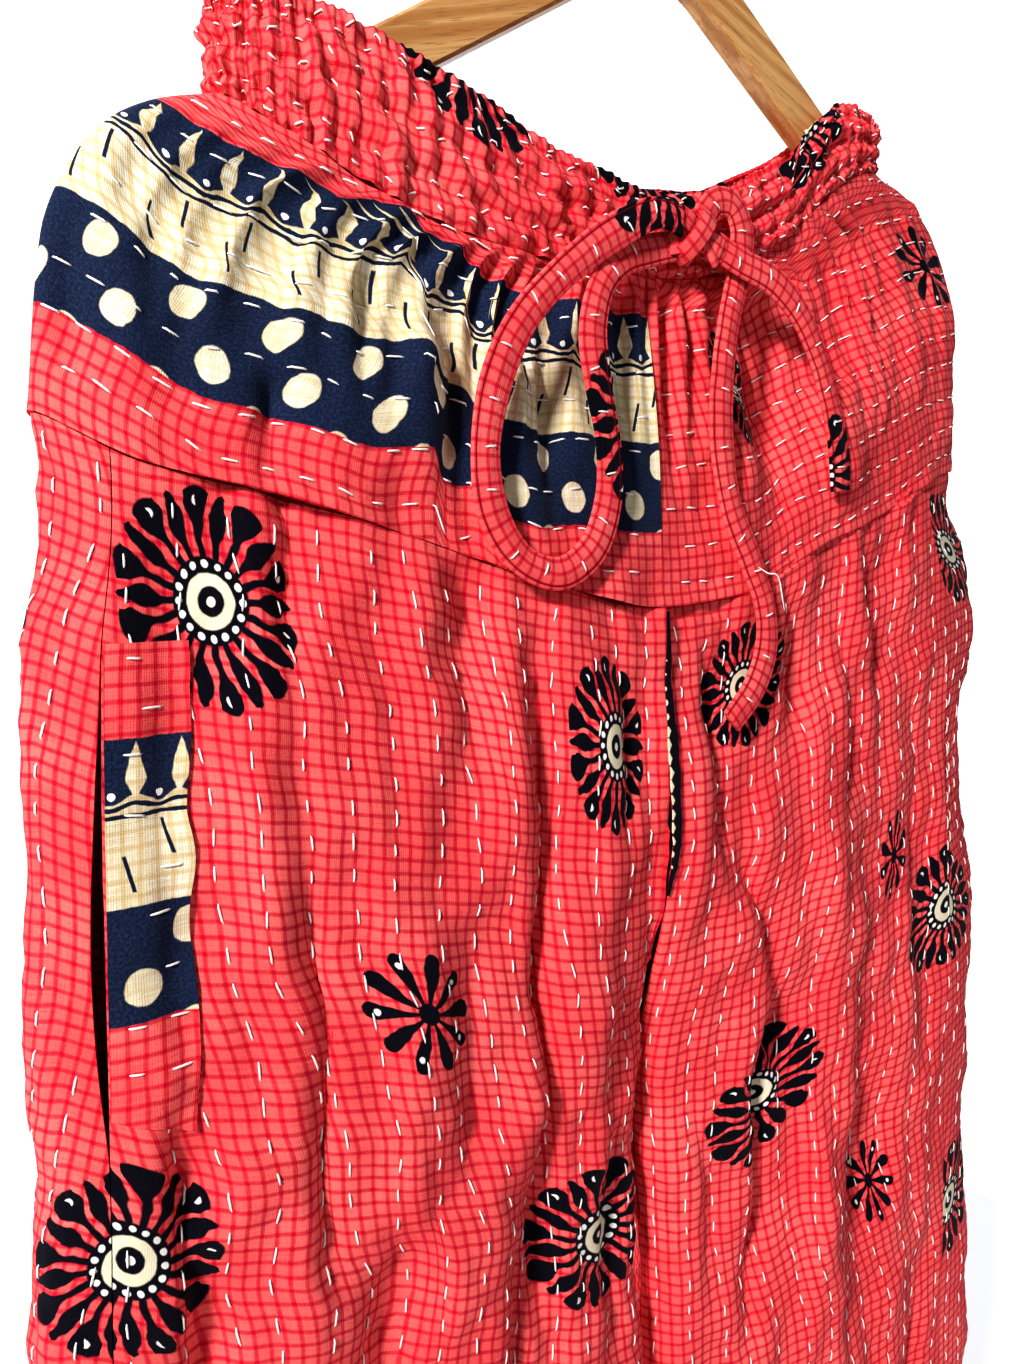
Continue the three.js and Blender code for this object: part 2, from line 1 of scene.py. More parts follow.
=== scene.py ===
# %% [markdown]
# # Kantha cotton pants on a coat hanger
#
# The real thing is a pair of wide cotton pants, sewn from two thin layers that rows of white running
# stitch hold together, and block-printed with flowers over a woven check. A wooden coat hanger inside
# the waist carries them. A plain model of every piece exists already, at its real size. This script
# dresses it: each panel of cloth becomes a fine thin wall on the same form, with its print, its
# puckers and its stitches, and the hanger gets its wood and its steel.

# %% Load the plain model
import math

import bpy
import numpy as np
from mathutils import Matrix, Vector


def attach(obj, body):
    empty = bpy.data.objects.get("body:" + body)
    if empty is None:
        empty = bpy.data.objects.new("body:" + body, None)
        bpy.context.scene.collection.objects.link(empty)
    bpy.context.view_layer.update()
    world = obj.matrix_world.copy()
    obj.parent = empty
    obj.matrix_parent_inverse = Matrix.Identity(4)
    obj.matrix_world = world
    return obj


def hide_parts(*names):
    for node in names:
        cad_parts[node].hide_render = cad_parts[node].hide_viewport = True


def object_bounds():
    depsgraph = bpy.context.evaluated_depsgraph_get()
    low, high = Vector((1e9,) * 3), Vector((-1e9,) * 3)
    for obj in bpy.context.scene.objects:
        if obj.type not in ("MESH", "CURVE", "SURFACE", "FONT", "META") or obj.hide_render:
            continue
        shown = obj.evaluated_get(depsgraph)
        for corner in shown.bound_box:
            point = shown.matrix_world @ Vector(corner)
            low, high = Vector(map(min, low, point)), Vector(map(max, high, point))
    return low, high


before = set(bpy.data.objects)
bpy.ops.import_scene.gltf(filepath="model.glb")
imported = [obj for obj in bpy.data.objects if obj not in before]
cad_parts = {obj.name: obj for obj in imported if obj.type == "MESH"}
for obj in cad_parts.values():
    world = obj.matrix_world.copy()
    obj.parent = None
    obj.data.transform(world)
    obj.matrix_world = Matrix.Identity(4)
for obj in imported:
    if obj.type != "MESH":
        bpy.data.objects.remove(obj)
cad_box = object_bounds()
print("plain model:", len(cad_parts), "pieces,", [round(x, 3) for x in cad_box[1] - cad_box[0]], "m")

# %% [markdown]
# ## Two frames
#
# The garment is easiest to think about from its own centre seam and its lowest waist point, in
# millimetres. Blender wants metres, from the inside top of the hanger's hook. One small function
# goes from the first to the second, and every table below stays in millimetres.

# %% From the garment's millimetres to the scene's metres
MM = 0.001
HANGER_CENTRE = 30
WAIST_BELOW_HOOK = 215


def placed(points):
    """Garment millimetres to scene metres."""
    return (np.asarray(points, float) - (HANGER_CENTRE, 0, WAIST_BELOW_HOOK)) * MM


# %% [markdown]
# ## Camera
#
# The photograph is a close-up from the front left, a little above the hips, looking right. Its
# perspective is strong, so the camera stands at a real place and has a real angle of view, worked out
# from the size of the woven check.

# %% Camera
PHOTO_SIZE = (1024, 1364)
FOCAL_LENGTH_PIXELS = 992.9
SENSOR_MM = 36
CAMERA_PLACE = placed((-310.6, -368.4, -178.4))
CAMERA_YAW, CAMERA_PITCH, CAMERA_ROLL = (math.radians(a) for a in (33.73, -5.11, -1.83))

ahead = Vector((math.sin(CAMERA_YAW), math.cos(CAMERA_YAW), 0))
forward = ahead * math.cos(CAMERA_PITCH) + Vector((0, 0, math.sin(CAMERA_PITCH)))
level = Vector((math.cos(CAMERA_YAW), -math.sin(CAMERA_YAW), 0))
upright = level.cross(forward)
camera_x = level * math.cos(CAMERA_ROLL) + upright * math.sin(CAMERA_ROLL)
camera_y = upright * math.cos(CAMERA_ROLL) - level * math.sin(CAMERA_ROLL)
camera = bpy.data.objects.new("camera", bpy.data.cameras.new("camera"))
camera.data.sensor_width = SENSOR_MM
camera.data.lens = FOCAL_LENGTH_PIXELS / max(PHOTO_SIZE) * SENSOR_MM
camera.data.clip_start = 0.01
turned = Matrix((camera_x, camera_y, -forward)).transposed().to_4x4()
camera.matrix_world = Matrix.Translation(CAMERA_PLACE) @ turned
bpy.context.scene.collection.objects.link(camera)
bpy.context.scene.camera = camera
print("camera: lens", round(camera.data.lens, 1), "mm")

# %% [markdown]
# ## Meshes from grids
#
# Cloth is made by hand here, from grids of points. Each grid has rows that run down and columns that
# run from left to right as seen from outside, so that faces made from it point out. A wall is two
# such grids, an outer and an inner one, with a rim between them. Each point also keeps its place on
# the flat cloth in millimetres, as a UV map, so that checks and flowers follow the folds.

# %% Helpers for grids
WALL = 2.0
SEAM_GAP = 0.3
TINY = 1e-9
SHARP_ANGLE = math.radians(60)


def smooth(x, low, high):
    """Soft step from 0 at low to 1 at high, which may be the lower one."""
    t = np.clip((x - low) / (high - low), 0, 1)
    return t * t * (3 - 2 * t)


def lerp(a, b, t):
    """A number between a, where t is 0, and b, where it is 1."""
    return a + (b - a) * t


def bump(distance, width):
    """Soft hill, 1 in its middle."""
    return np.exp(-(distance / width) ** 2)


def curve(table, key, column):
    """A smooth curve through one column of a table, which never overshoots its rows."""
    rows = sorted(table, key=lambda row: row[key])
    x = np.array([row[key] for row in rows], float)
    y = np.array([row[column] for row in rows], float)
    rise = np.diff(y) / np.diff(x)
    inside = [0 if a * b <= 0 else 2 * a * b / (a + b) for a, b in zip(rise, rise[1:])]
    tangent = np.array([rise[0], *inside, rise[-1]])

    def at(place):
        place = np.clip(place, x[0], x[-1])
        i = np.clip(np.searchsorted(x, place) - 1, 0, len(x) - 2)
        step = x[i + 1] - x[i]
        t = (place - x[i]) / step
        return ((2 * t**3 - 3 * t**2 + 1) * y[i] + (t**3 - 2 * t**2 + t) * step * tangent[i]
                + (3 * t**2 - 2 * t**3) * y[i + 1] + (t**3 - t**2) * step * tangent[i + 1])

    return at


def unit(vectors):
    """Vectors that point the same way, 1 long."""
    return vectors / np.maximum(np.linalg.norm(vectors, axis=-1, keepdims=True), TINY)


def outward(grid):
    """Unit normals of a grid of points, on its outer side."""
    return unit(np.cross(np.gradient(grid, axis=0), np.gradient(grid, axis=1)))


def line_distance(line):
    """Distance of each point of a line from its start, along it."""
    return np.concatenate(([0], np.cumsum(np.linalg.norm(np.diff(line, axis=0), axis=1))))


def arc_length(grid, axis):
    """Distance along the rows (axis 1) or down the columns (axis 0) of a grid of points."""
    steps = np.linalg.norm(np.diff(grid, axis=axis), axis=2)
    start = np.zeros_like(np.take(steps, [0], axis))
    return np.concatenate((start, np.cumsum(steps, axis=axis)), axis=axis)


def add_map(mesh, name, values):
    """A UV map that gives each point of a mesh its pair of numbers."""
    corners = np.zeros(len(mesh.loops), np.int32)
    mesh.loops.foreach_get("vertex_index", corners)
    mesh.uv_layers.new(name=name).data.foreach_set("uv", values[corners].astype(np.float32).ravel())


def make_object(name, points, faces, material):
    """Smooth mesh object from garment points and faces."""
    mesh = bpy.data.meshes.new(name)
    mesh.from_pydata(placed(points).tolist(), [], faces)
    mesh.polygons.foreach_set("use_smooth", np.ones(len(mesh.polygons), bool))
    mesh.materials.append(material)
    item = bpy.data.objects.new(name, mesh)
    bpy.context.scene.collection.objects.link(item)
    return item


def wall_object(name, grid, cloth, thickness, material):
    """Closed wall on a grid of outer points. Cloth is the grid of the same points' flat millimetres."""
    rows, columns = grid.shape[:2]
    inner = grid - outward(grid) * thickness
    points = np.concatenate((grid.reshape(-1, 3), inner.reshape(-1, 3)))
    uv = np.concatenate((cloth.reshape(-1, 2), cloth.reshape(-1, 2)))
    at = np.arange(rows * columns).reshape(rows, columns)
    back = at + rows * columns
    a, b, c, d = at[:-1, :-1], at[1:, :-1], at[1:, 1:], at[:-1, 1:]
    e, f, g, h = back[:-1, :-1], back[1:, :-1], back[1:, 1:], back[:-1, 1:]
    faces = [np.stack((a, b, c, d), -1).reshape(-1, 4), np.stack((e, h, g, f), -1).reshape(-1, 4)]
    faces.append(np.stack((at[:-1, 0], back[:-1, 0], back[1:, 0], at[1:, 0]), -1))
    faces.append(np.stack((at[:-1, -1], at[1:, -1], back[1:, -1], back[:-1, -1]), -1))
    faces.append(np.stack((at[0, :-1], at[0, 1:], back[0, 1:], back[0, :-1]), -1))
    faces.append(np.stack((at[-1, :-1], back[-1, :-1], back[-1, 1:], at[-1, 1:]), -1))
    item = make_object(name, points, np.concatenate(faces).tolist(), material)
    add_map(item.data, "cloth", uv)
    bpy.ops.object.select_all(action="DESELECT")
    item.select_set(True)
    bpy.context.view_layer.objects.active = item
    bpy.ops.object.shade_smooth_by_angle(angle=SHARP_ANGLE)
    return item


def stand_in(item, node):
    """Lets a piece take the place of the plain model's one, which it hides."""
    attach(item, "root")
    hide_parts(node)
    print(item.name, len(item.data.polygons), "faces")


# %% [markdown]
# ## Patterns as formulas
#
# A printed and woven pattern could be a picture wrapped on the cloth. Formulas stay sharp at any
# distance and need no picture: each one is a number at every point of the surface, worked out from
# the cloth map. Writing them as node trees by hand is slow to read, so this small class turns plain
# arithmetic into Math nodes.

# %% Arithmetic that builds nodes
class Field:
    """A number at each point of a surface. Arithmetic on it adds nodes to its material."""

    def __init__(self, tree, socket):
        self.tree, self.socket = tree, socket

    def math(self, operation, *values):
        """One Math node on this field and the values."""
        node = self.tree.nodes.new("ShaderNodeMath")
        node.operation = operation
        for slot, value in zip(node.inputs, (self, *values)):
            if isinstance(value, Field):
                self.tree.links.new(value.socket, slot)
            else:
                slot.default_value = value
        return Field(self.tree, node.outputs[0])

    def __add__(self, other):
        return self.math("ADD", other)

    def __sub__(self, other):
        return self.math("SUBTRACT", other)

    def __mul__(self, other):
        return self.math("MULTIPLY", other)

    def __truediv__(self, other):
        return self.math("DIVIDE", other)

    __radd__, __rmul__ = __add__, __mul__

    def __rsub__(self, other):
        return (self * -1) + other

    def __neg__(self):
        return self * -1

    def soft(self, low, high):
        """Soft step from 0 at low to 1 at high, also where low is the higher one."""
        node = self.tree.nodes.new("ShaderNodeMapRange")
        node.interpolation_type = "SMOOTHSTEP"
        flip = low > high
        self.tree.links.new(self.socket, node.inputs["Value"])
        node.inputs["From Min"].default_value, node.inputs["From Max"].default_value = sorted((low, high))
        node.inputs["To Min"].default_value, node.inputs["To Max"].default_value = (1, 0) if flip else (0, 1)
        return Field(self.tree, node.outputs["Result"])

    def near(self, pitch):
        """Distance to the nearest multiple of a pitch."""
        return self.math("PINGPONG", pitch / 2)

    def inside(self, pitch):
        """Place between two multiples of a pitch, from minus half of it to half of it."""
        return (self + pitch / 2).math("FLOORED_MODULO", pitch) - pitch / 2

    def count(self, pitch):
        """The number of the nearest multiple of a pitch."""
        return (self / pitch + 0.5).math("FLOOR")


class Finish:
    """A material with a Principled shader, and the fields that its patterns start from."""

    def __init__(self, name, roughness, **constants):
        self.material = bpy.data.materials.new(name)
        self.material.use_nodes = True
        self.tree = self.material.node_tree
        self.shader = self.tree.nodes["Principled BSDF"]
        self.shader.inputs["Roughness"].default_value = roughness
        for socket, value in constants.items():
            self.shader.inputs[socket.replace("_", " ")].default_value = value

    def map(self, name):
        """Both fields of a UV map."""
        node = self.tree.nodes.new("ShaderNodeUVMap")
        node.uv_map = name
        split = self.tree.nodes.new("ShaderNodeSeparateXYZ")
        self.tree.links.new(node.outputs[0], split.inputs[0])
        return Field(self.tree, split.outputs[0]), Field(self.tree, split.outputs[1])

    def noise(self, x, y, z=0.0, detail=2.0):
        """Soft noise about 0.5, with hills one unit apart in x, y and z."""
        join = self.tree.nodes.new("ShaderNodeCombineXYZ")
        for slot, value in zip(join.inputs, (x, y, z)):
            if isinstance(value, Field):
                self.tree.links.new(value.socket, slot)
            else:
                slot.default_value = value
        node = self.tree.nodes.new("ShaderNodeTexNoise")
        node.inputs["Scale"].default_value = 1
        node.inputs["Detail"].default_value = detail
        self.tree.links.new(join.outputs[0], node.inputs["Vector"])
        return Field(self.tree, node.outputs[0])

    def mix(self, factor, under, over):
        """Colour over another one where the factor is 1. Colours are sRGB triples or earlier mixes."""
        node = self.tree.nodes.new("ShaderNodeMix")
        node.data_type = "RGBA"
        if isinstance(factor, Field):
            self.tree.links.new(factor.socket, node.inputs["Factor"])
        else:
            node.inputs["Factor"].default_value = factor
        for name, value in (("A", under), ("B", over)):
            slot = [s for s in node.inputs if s.name == name and s.type == "RGBA"][0]
            if isinstance(value, tuple):
                slot.default_value = linear(value)
            else:
                self.tree.links.new(value, slot)
        return [s for s in node.outputs if s.type == "RGBA"][0]

    def done(self, colour, height, strength=1.0):
        """Gives the shader its colour, and a bump from a height in millimetres."""
        self.tree.links.new(colour, self.shader.inputs["Base Color"])
        node = self.tree.nodes.new("ShaderNodeBump")
        node.inputs["Distance"].default_value = MM
        node.inputs["Strength"].default_value = strength
        self.tree.links.new(height.socket, node.inputs["Height"])
        self.tree.links.new(node.outputs[0], self.shader.inputs["Normal"])
        return self.material


def linear(colour):
    """sRGB numbers from 0 to 255 to the linear colour that shaders use."""
    part = [c / 255 for c in colour]
    return tuple(c / 12.92 if c < 0.04045 else ((c + 0.055) / 1.055) ** 2.4 for c in part) + (1,)


# %% [markdown]
# ## Woven check
#
# Both cotton layers are coral red with a thin crimson line every 5.5 mm, both ways. The yarns are
# uneven, so some stretches are paler and some darker, and the lines are darkest where two cross.
# Washing has softened the lines' edges.

# %% The red check
CHECK = 5.5
CORAL_LIGHT, CORAL, CORAL_DARK = (250, 124, 120), (240, 100, 100), (206, 48, 60)
CRIMSON = (200, 18, 54)
# The dark crimson of the drawstring's seam line is painted shade for the groove of that seam.
SEAM_GROOVE_SHADE = (110, 2, 22)
INK, INK_WORN = (14, 13, 26), (52, 32, 48)
CREAM, CREAM_LIGHT, BEIGE = (232, 222, 196), (244, 238, 220), (206, 178, 124)
NAVY, NAVY_WORN = (27, 37, 62), (58, 74, 106)
THREAD_WHITE = (240, 236, 232)
TURN = 2 * math.pi
YARN_PITCH, YARN_HEIGHT, SLUB_HEIGHT = 0.85, 0.028, 0.16
LINE_EDGE = (1.25, 0.35)


def weave_height(finish, u, v):
    """Yarns of the cotton: fine ribs both ways, with thick and thin places."""
    ribs = (u * (TURN / YARN_PITCH)).math("SINE") + (v * (TURN / YARN_PITCH)).math("SINE")
    return ribs * YARN_HEIGHT + finish.noise(u / 1.6, v / 1.3) * SLUB_HEIGHT


def check_lines(finish, u, v):
    """1 on the crimson lines and 0 between them."""
    drift = (finish.noise(u / 14, v / 14) - 0.5) * 1.3
    worn = finish.noise(u / 4, v / 4, 3.0) * 0.7 + 0.5
    up = (u + drift).near(CHECK).soft(*LINE_EDGE)
    across = (v + drift).near(CHECK).soft(*LINE_EDGE)
    return (up.math("MAXIMUM", across) * 0.85 + up * across * 0.4) * worn


def red_check(finish, u, v):
    """Colour of the coral cloth with its crimson check."""
    tone = finish.noise(u / 45, v / 45, 8.0)
    yarn_up, yarn_across = finish.noise(u / 0.7, v / 22, 1.0), finish.noise(u / 22, v / 0.7, 5.0)
    ground = finish.mix(tone.soft(0.35, 0.7), CORAL, CORAL_LIGHT)
    ground = finish.mix((yarn_up + yarn_across).soft(0.95, 1.35) * 0.35, ground, CORAL_DARK)
    ground = finish.mix((yarn_up + yarn_across).soft(0.95, 0.65) * 0.30, ground, CORAL_LIGHT)
    return finish.mix(check_lines(finish, u, v).math("MINIMUM", 1.0), ground, CRIMSON)


# %% [markdown]
# ## Block-printed flowers
#
# Two flowers are stamped over the check. The large one has twenty petals round a dark heart: every
# other petal opens like a fan and the ones between end in a leaf's point. White dots ring the heart,
# which has a cream ring in it. The small flower has ten plain petals. Both are drawn with polar
# formulas round their centres, so each panel gets a map of its own that holds, in millimetres, how
# far each point of the cloth lies from the nearest flower's centre. Distances in the formulas are
# shares of the flower's radius.

# %% The flowers' formulas
MEDALLION_RADIUS, DAISY_RADIUS = 36.5, 25.0
PETALS, HEART_DOTS, DAISY_PETALS = 20, 16, 10
HEART_DOT_RING, HEART_DOT_SIZE = 0.325, 0.036
PETAL_DOT_RING, PETAL_DOT_SIZE = 0.86, 0.045
DAISY_DOT_RING, DAISY_DOT_SIZE = 0.78, 0.055


def polar(finish, name, radius, petals):
    """Distance from a flower's centre, angle in turns, and distance from a petal's middle line."""
    x, y = finish.map(name)
    rough = (finish.noise(x / 5, y / 5, 2.0) - 0.5) * 1.2
    sway = (finish.noise(x / 11, y / 11, 6.0) - 0.5) * 0.035
    r = ((x * x + y * y).math("SQRT") + rough) / radius
    turns = y.math("ARCTAN2", x) / TURN + sway
    aside = (turns.inside(1 / petals) * TURN).math("SINE").math("ABSOLUTE") * r
    return r, turns, aside


def ink(finish):
    """Black block print, worn in places."""
    x, y = finish.map("cloth")
    return finish.mix(finish.noise(x / 1.3, y / 5, 9.0).soft(0.55, 0.85) * 0.55, INK, INK_WORN)


def round_dot(turns, r, number, ring, size):
    """Dots evenly round a ring."""
    aside = turns.inside(1 / number) * (TURN * ring)
    away = r - ring
    return (aside * aside + away * away).math("SQRT").soft(size * 1.15, size * 0.8)


def odd(turns, petals):
    """1 on every other petal and 0 on the ones between."""
    return turns.count(1 / petals).math("FLOORED_MODULO", 2.0)


def medallion(finish, ground):
    """The large flower over a ground colour."""
    r, turns, aside = polar(finish, "medallion", MEDALLION_RADIUS, PETALS)
    fan = odd(turns, PETALS)
    fan_width = r.soft(0.60, 0.93) * 0.125 + 0.036
    leaf_width = r.soft(0.46, 0.70) * r.soft(0.985, 0.72) * 0.062 + r.soft(0.97, 0.93) * 0.034
    width = fan * fan_width + (1 - fan) * leaf_width
    tip = (r + aside * aside * 2.2).soft(1.0, 0.975)
    petal = (width - aside).soft(-0.010, 0.010) * tip * r.soft(0.30, 0.36)
    heart = r.soft(0.40, 0.375)
    colour = finish.mix(petal.math("MAXIMUM", heart), ground, ink(finish))
    some = turns.count(2 / PETALS).math("FLOORED_MODULO", 3.0).soft(0.6, 0.4)
    tips = round_dot(turns - 1 / PETALS, r, PETALS / 2, PETAL_DOT_RING, PETAL_DOT_SIZE) * some
    dots = round_dot(turns, r, HEART_DOTS, HEART_DOT_RING, HEART_DOT_SIZE)
    ring = r.soft(0.255, 0.235) * r.soft(0.125, 0.145)
    colour = finish.mix(ring, colour, CREAM)
    return finish.mix(dots.math("MAXIMUM", tips).math("MAXIMUM", r.soft(0.05, 0.04)), colour, THREAD_WHITE)


def daisy(finish, ground):
    """The small flower over a ground colour."""
    r, turns, aside = polar(finish, "daisy", DAISY_RADIUS, DAISY_PETALS)
    past = (r - 0.87).math("MAXIMUM", 0.0)
    from_middle = (aside * aside + past * past).math("SQRT")
    petal = (r.soft(0.12, 0.80) * 0.098 + 0.028 - from_middle).soft(-0.012, 0.012)
    colour = finish.mix(petal.math("MAXIMUM", r.soft(0.19, 0.16)), ground, ink(finish))
    tips = round_dot(turns, r, DAISY_PETALS, DAISY_DOT_RING, DAISY_DOT_SIZE)
    return finish.mix(tips * odd(turns, DAISY_PETALS), colour, THREAD_WHITE)


def cotton(name):
    """Matt cotton with a faint sheen, before its print."""
    return Finish(name, 0.9, Sheen_Weight=0.05, Sheen_Roughness=0.5, Specular_IOR_Level=0.14)


finish = cotton("red_check_cotton")
u, v = finish.map("cloth")
flowered = daisy(finish, medallion(finish, red_check(finish, u, v)))
red_material = finish.done(flowered, weave_height(finish, u, v))
print("red check:", len(finish.tree.nodes), "nodes")

# %% [markdown]
# ## Border print
#
# The left yoke and the pocket facing come from the cloth's border. From its foot up it has a red
# band, a navy one with cream dots, a cream one with a beige check and short navy dashes, two fine
# navy lines, and a navy band with upright cream leaves, white dots and small arches between them.
# On these two pieces the cloth map's height starts at the border's foot.

# %% The border's formulas
BORDER = {"red_top": 28.0, "navy_top": 68.0, "cream_top": 97.0, "lines_top": 104.5, "leaves_top": 125.0}
DOT_PITCH, DOT_SIZE = 33.0, (5.9, 5.9 * 1.12)
DOT_ROWS = ((58.0, 0.0), (40.0, 0.5), (22.5, 0.0))
DASH_PITCH, LEAF_PITCH = 26.0, 15.5
DASH_ROWS = ((90.0, 0.0), (79.0, 0.5))
LEAF_HEIGHT = 17.5
FINE_LINES = ((98.8, 0.0), (102.2, 0.9))
SCALLOP = 1.7
BLUR = 0.3


def ellipse(x, y, wide, high):
    """1 inside an ellipse round 0."""
    return ((x / wide) * (x / wide) + (y / high) * (y / high)).math("SQRT").soft(1.06, 0.94)


def widest(fields):
    """1 where any of the fields is."""
    first, *others = fields
    for field in others:
        first = first.math("MAXIMUM", field)
    return first


def over(finish, s, edge, below, above):
    """One colour below an edge and another above it."""
    return finish.mix(s.soft(edge + BLUR, edge - BLUR), above, below)


def border_print(finish, u, up):
    """Colour of the border, by the width and the height above its foot."""
    rough = (finish.noise(u / 5, up / 5, 4.0) - 0.5) * 1.6
    s = up + rough
    x = u + rough
    red = red_check(finish, u, up)
    lines = check_lines(finish, u, up)
    yarns = (finish.noise(u / 0.8, up / 16) + finish.noise(u / 16, up / 0.8, 3.0)).soft(0.8, 1.3)
    plain = finish.mix(finish.noise(u / 22, up / 22).soft(0.4, 0.7), CREAM, CREAM_LIGHT)
    plain = finish.mix(yarns * 0.5, plain, BEIGE)
    cream = finish.mix(lines * 0.8, plain, BEIGE)
    navy = finish.mix(finish.noise(u / 1.1, up / 1.1).soft(0.35, 0.75) * 0.5, NAVY, NAVY_WORN)
    dots = widest([ellipse((x - start * DOT_PITCH).inside(DOT_PITCH), s - height, *DOT_SIZE)
                   for height, start in DOT_ROWS])
    navy_dots = finish.mix(dots, navy, finish.mix(lines * 0.3, plain, BEIGE))
    dashes = []
    for height, start in DASH_ROWS:
        slant = (u - start * DASH_PITCH + (s - height) * 0.28).inside(DASH_PITCH)
        dashes.append(slant.math("ABSOLUTE").soft(0.85, 0.5) * (s - height).math("ABSOLUTE").soft(6.6, 5.8))
    colour = finish.mix(widest(dashes) * s.soft(BORDER["cream_top"], BORDER["cream_top"] - 1), cream, NAVY)
    scallop = (x * (TURN / LEAF_PITCH)).math("COSINE")
    fine = widest([(s - height - scallop * wave).math("ABSOLUTE").soft(0.95, 0.6)
                   for height, wave in FINE_LINES])
    colour = finish.mix(fine, colour, NAVY)
    leaf_up = s - (BORDER["lines_top"] + scallop * SCALLOP)
    taper = 1 - (leaf_up.math("MAXIMUM", 0.0) / LEAF_HEIGHT).math("POWER", 2.0)
    leaf_width = (leaf_up.soft(-1, 7) * 2.6 + 0.9) * taper
    leaf = (leaf_width - x.inside(LEAF_PITCH).math("ABSOLUTE")).soft(-BLUR, BLUR)
    between = (x + LEAF_PITCH / 2).inside(LEAF_PITCH)
    spot = ellipse(between, leaf_up - 2.9, 1.4, 1.4)
    leaves = finish.mix(leaf, finish.mix(spot, navy, THREAD_WHITE), cream)
    colour = over(finish, s, BORDER["navy_top"], navy_dots, colour)
    colour = over(finish, s, BORDER["red_top"], red, colour)
    colour = finish.mix(leaf_up.soft(-BLUR, BLUR), colour, leaves)
    return finish.mix(s.soft(BORDER["leaves_top"] - BLUR, BORDER["leaves_top"] + BLUR), colour, red)


finish = cotton("border_print_cotton")
u, v = finish.map("cloth")
border_material = finish.done(border_print(finish, u, -v), weave_height(finish, u, v))
print("border print:", len(finish.tree.nodes), "nodes")

finish = cotton("drawstring_cotton")
u, v = finish.map("cloth")
# Painted shade: a dark crimson line is painted along the groove of the tube's edge seam on one side, where
# the bump also presses the seam in.
seam_groove_and_shade = (u - 5.4).math("ABSOLUTE").soft(0.4, 0.2)
cord_colour = finish.mix(seam_groove_and_shade * 0.8, medallion(finish, red_check(finish, u, v)), SEAM_GROOVE_SHADE)
cord_material = finish.done(cord_colour, weave_height(finish, u, v) - seam_groove_and_shade * 0.25)

finish = cotton("seam_strip_cotton")
u, v = finish.map("cloth")
teeth = u + 2.3 + v.near(6.4) * 0.55
strip_colour = finish.mix(teeth.soft(1.35, 0.85), INK, CREAM)
strip_material = finish.done(strip_colour, weave_height(finish, u, v))

# %% [markdown]
# ## Drawstring
#
# A flat tube of the same cloth, 15 mm wide, is tied in a half bow: one long loop, which goes out to
# the left and comes back, and two tails. It hangs on the front, so its route is a short list of
# given points. A smooth line through them carries the tube, whose flat side faces forward.

# %% Routes of the drawstring
CORD_WIDTH = 15
CORD_THICKNESS = 3.4
LOOP_ROUTE = [
    [8.5, -37, -18], [-6, -38, -17], [-32, -38, -30], [-60, -38, -51], [-81, -38, -73], [-94, -38, -99],
    [-99, -38, -127], [-95, -38, -150], [-82, -38, -166], [-64, -38, -171], [-47, -38, -161],
    [-38, -38, -141], [-37, -38, -118], [-42, -38, -92], [-44, -38, -71], [-38, -37, -52], [-24, -34, -38],
    [-6, -31.5, -31], [7.6, -31.5, -27],
]
LONG_TAIL_ROUTE = [
    [25.6, -32, -13.6], [34.5, -32, -3.5], [45, -32, -3], [51, -32, -12], [50, -32.5, -26], [44, -34, -42],
    [37, -36, -60], [32, -37, -84], [31, -37, -111], [37, -37, -142], [49, -38, -168], [57, -39, -190],
    [57, -39, -210], [48, -39, -228], [33, -39, -242],
]
SHORT_TAIL_ROUTE = [
    [28.8, -36.5, -24.6], [43, -38.3, -30.5], [64, -39, -36], [82, -39, -48], [97, -38.5, -68],
    [107, -38, -90], [113, -38, -112], [115, -37.5, -132],
]


def smooth_line(route, step):
    """Points a step apart on a smooth line through a route, and the line's length."""
    ends = np.array(route, float)
    ends = np.vstack((2 * ends[0] - ends[1], ends, 2 * ends[-1] - ends[-2]))
    t = np.linspace(0, 1, 24, endpoint=False)[:, None]
    pieces = []
    for p0, p1, p2, p3 in zip(ends, ends[1:], ends[2:], ends[3:]):
        d0, d1, d2 = (np.linalg.norm(b - a) ** 0.5 for a, b in ((p0, p1), (p1, p2), (p2, p3)))
        m1 = d1 * ((p1 - p0) / d0 - (p2 - p0) / (d0 + d1) + (p2 - p1) / d1)
        m2 = d1 * ((p2 - p1) / d1 - (p3 - p1) / (d1 + d2) + (p3 - p2) / d2)
        pieces.append((2 * t**3 - 3 * t**2 + 1) * p1 + (t**3 - 2 * t**2 + t) * m1
                      + (3 * t**2 - 2 * t**3) * p2 + (t**3 - t**2) * m2)
    line = np.vstack(pieces + [ends[-2]])
    length = line_distance(line)
    even = np.linspace(0, length[-1], round(length[-1] / step) + 1)
    return np.column_stack([np.interp(even, length, line[:, k]) for k in range(3)]), length[-1]


# %% [markdown]
# The tube's section is a soft flat oval. At each point of the line the section is turned so that its
# width lies across the line and its flat side faces forward, towards the viewer. It has a flower's
# part printed on it in a few places, by the width and the length at which that flower's centre lies.

# %% Tubes of the drawstring
SECTION_POINTS = 20
CORD_STEP = 1.5
FRONT = np.array((0, -1, 0), float)
FAR_AWAY = 999.0
CORD_PRINTS = {"drawstring_loop_cloth": ((20, 10), (24, 305)), "drawstring_short_tail_cloth": ((19, 143),)}
cord_lines = {}


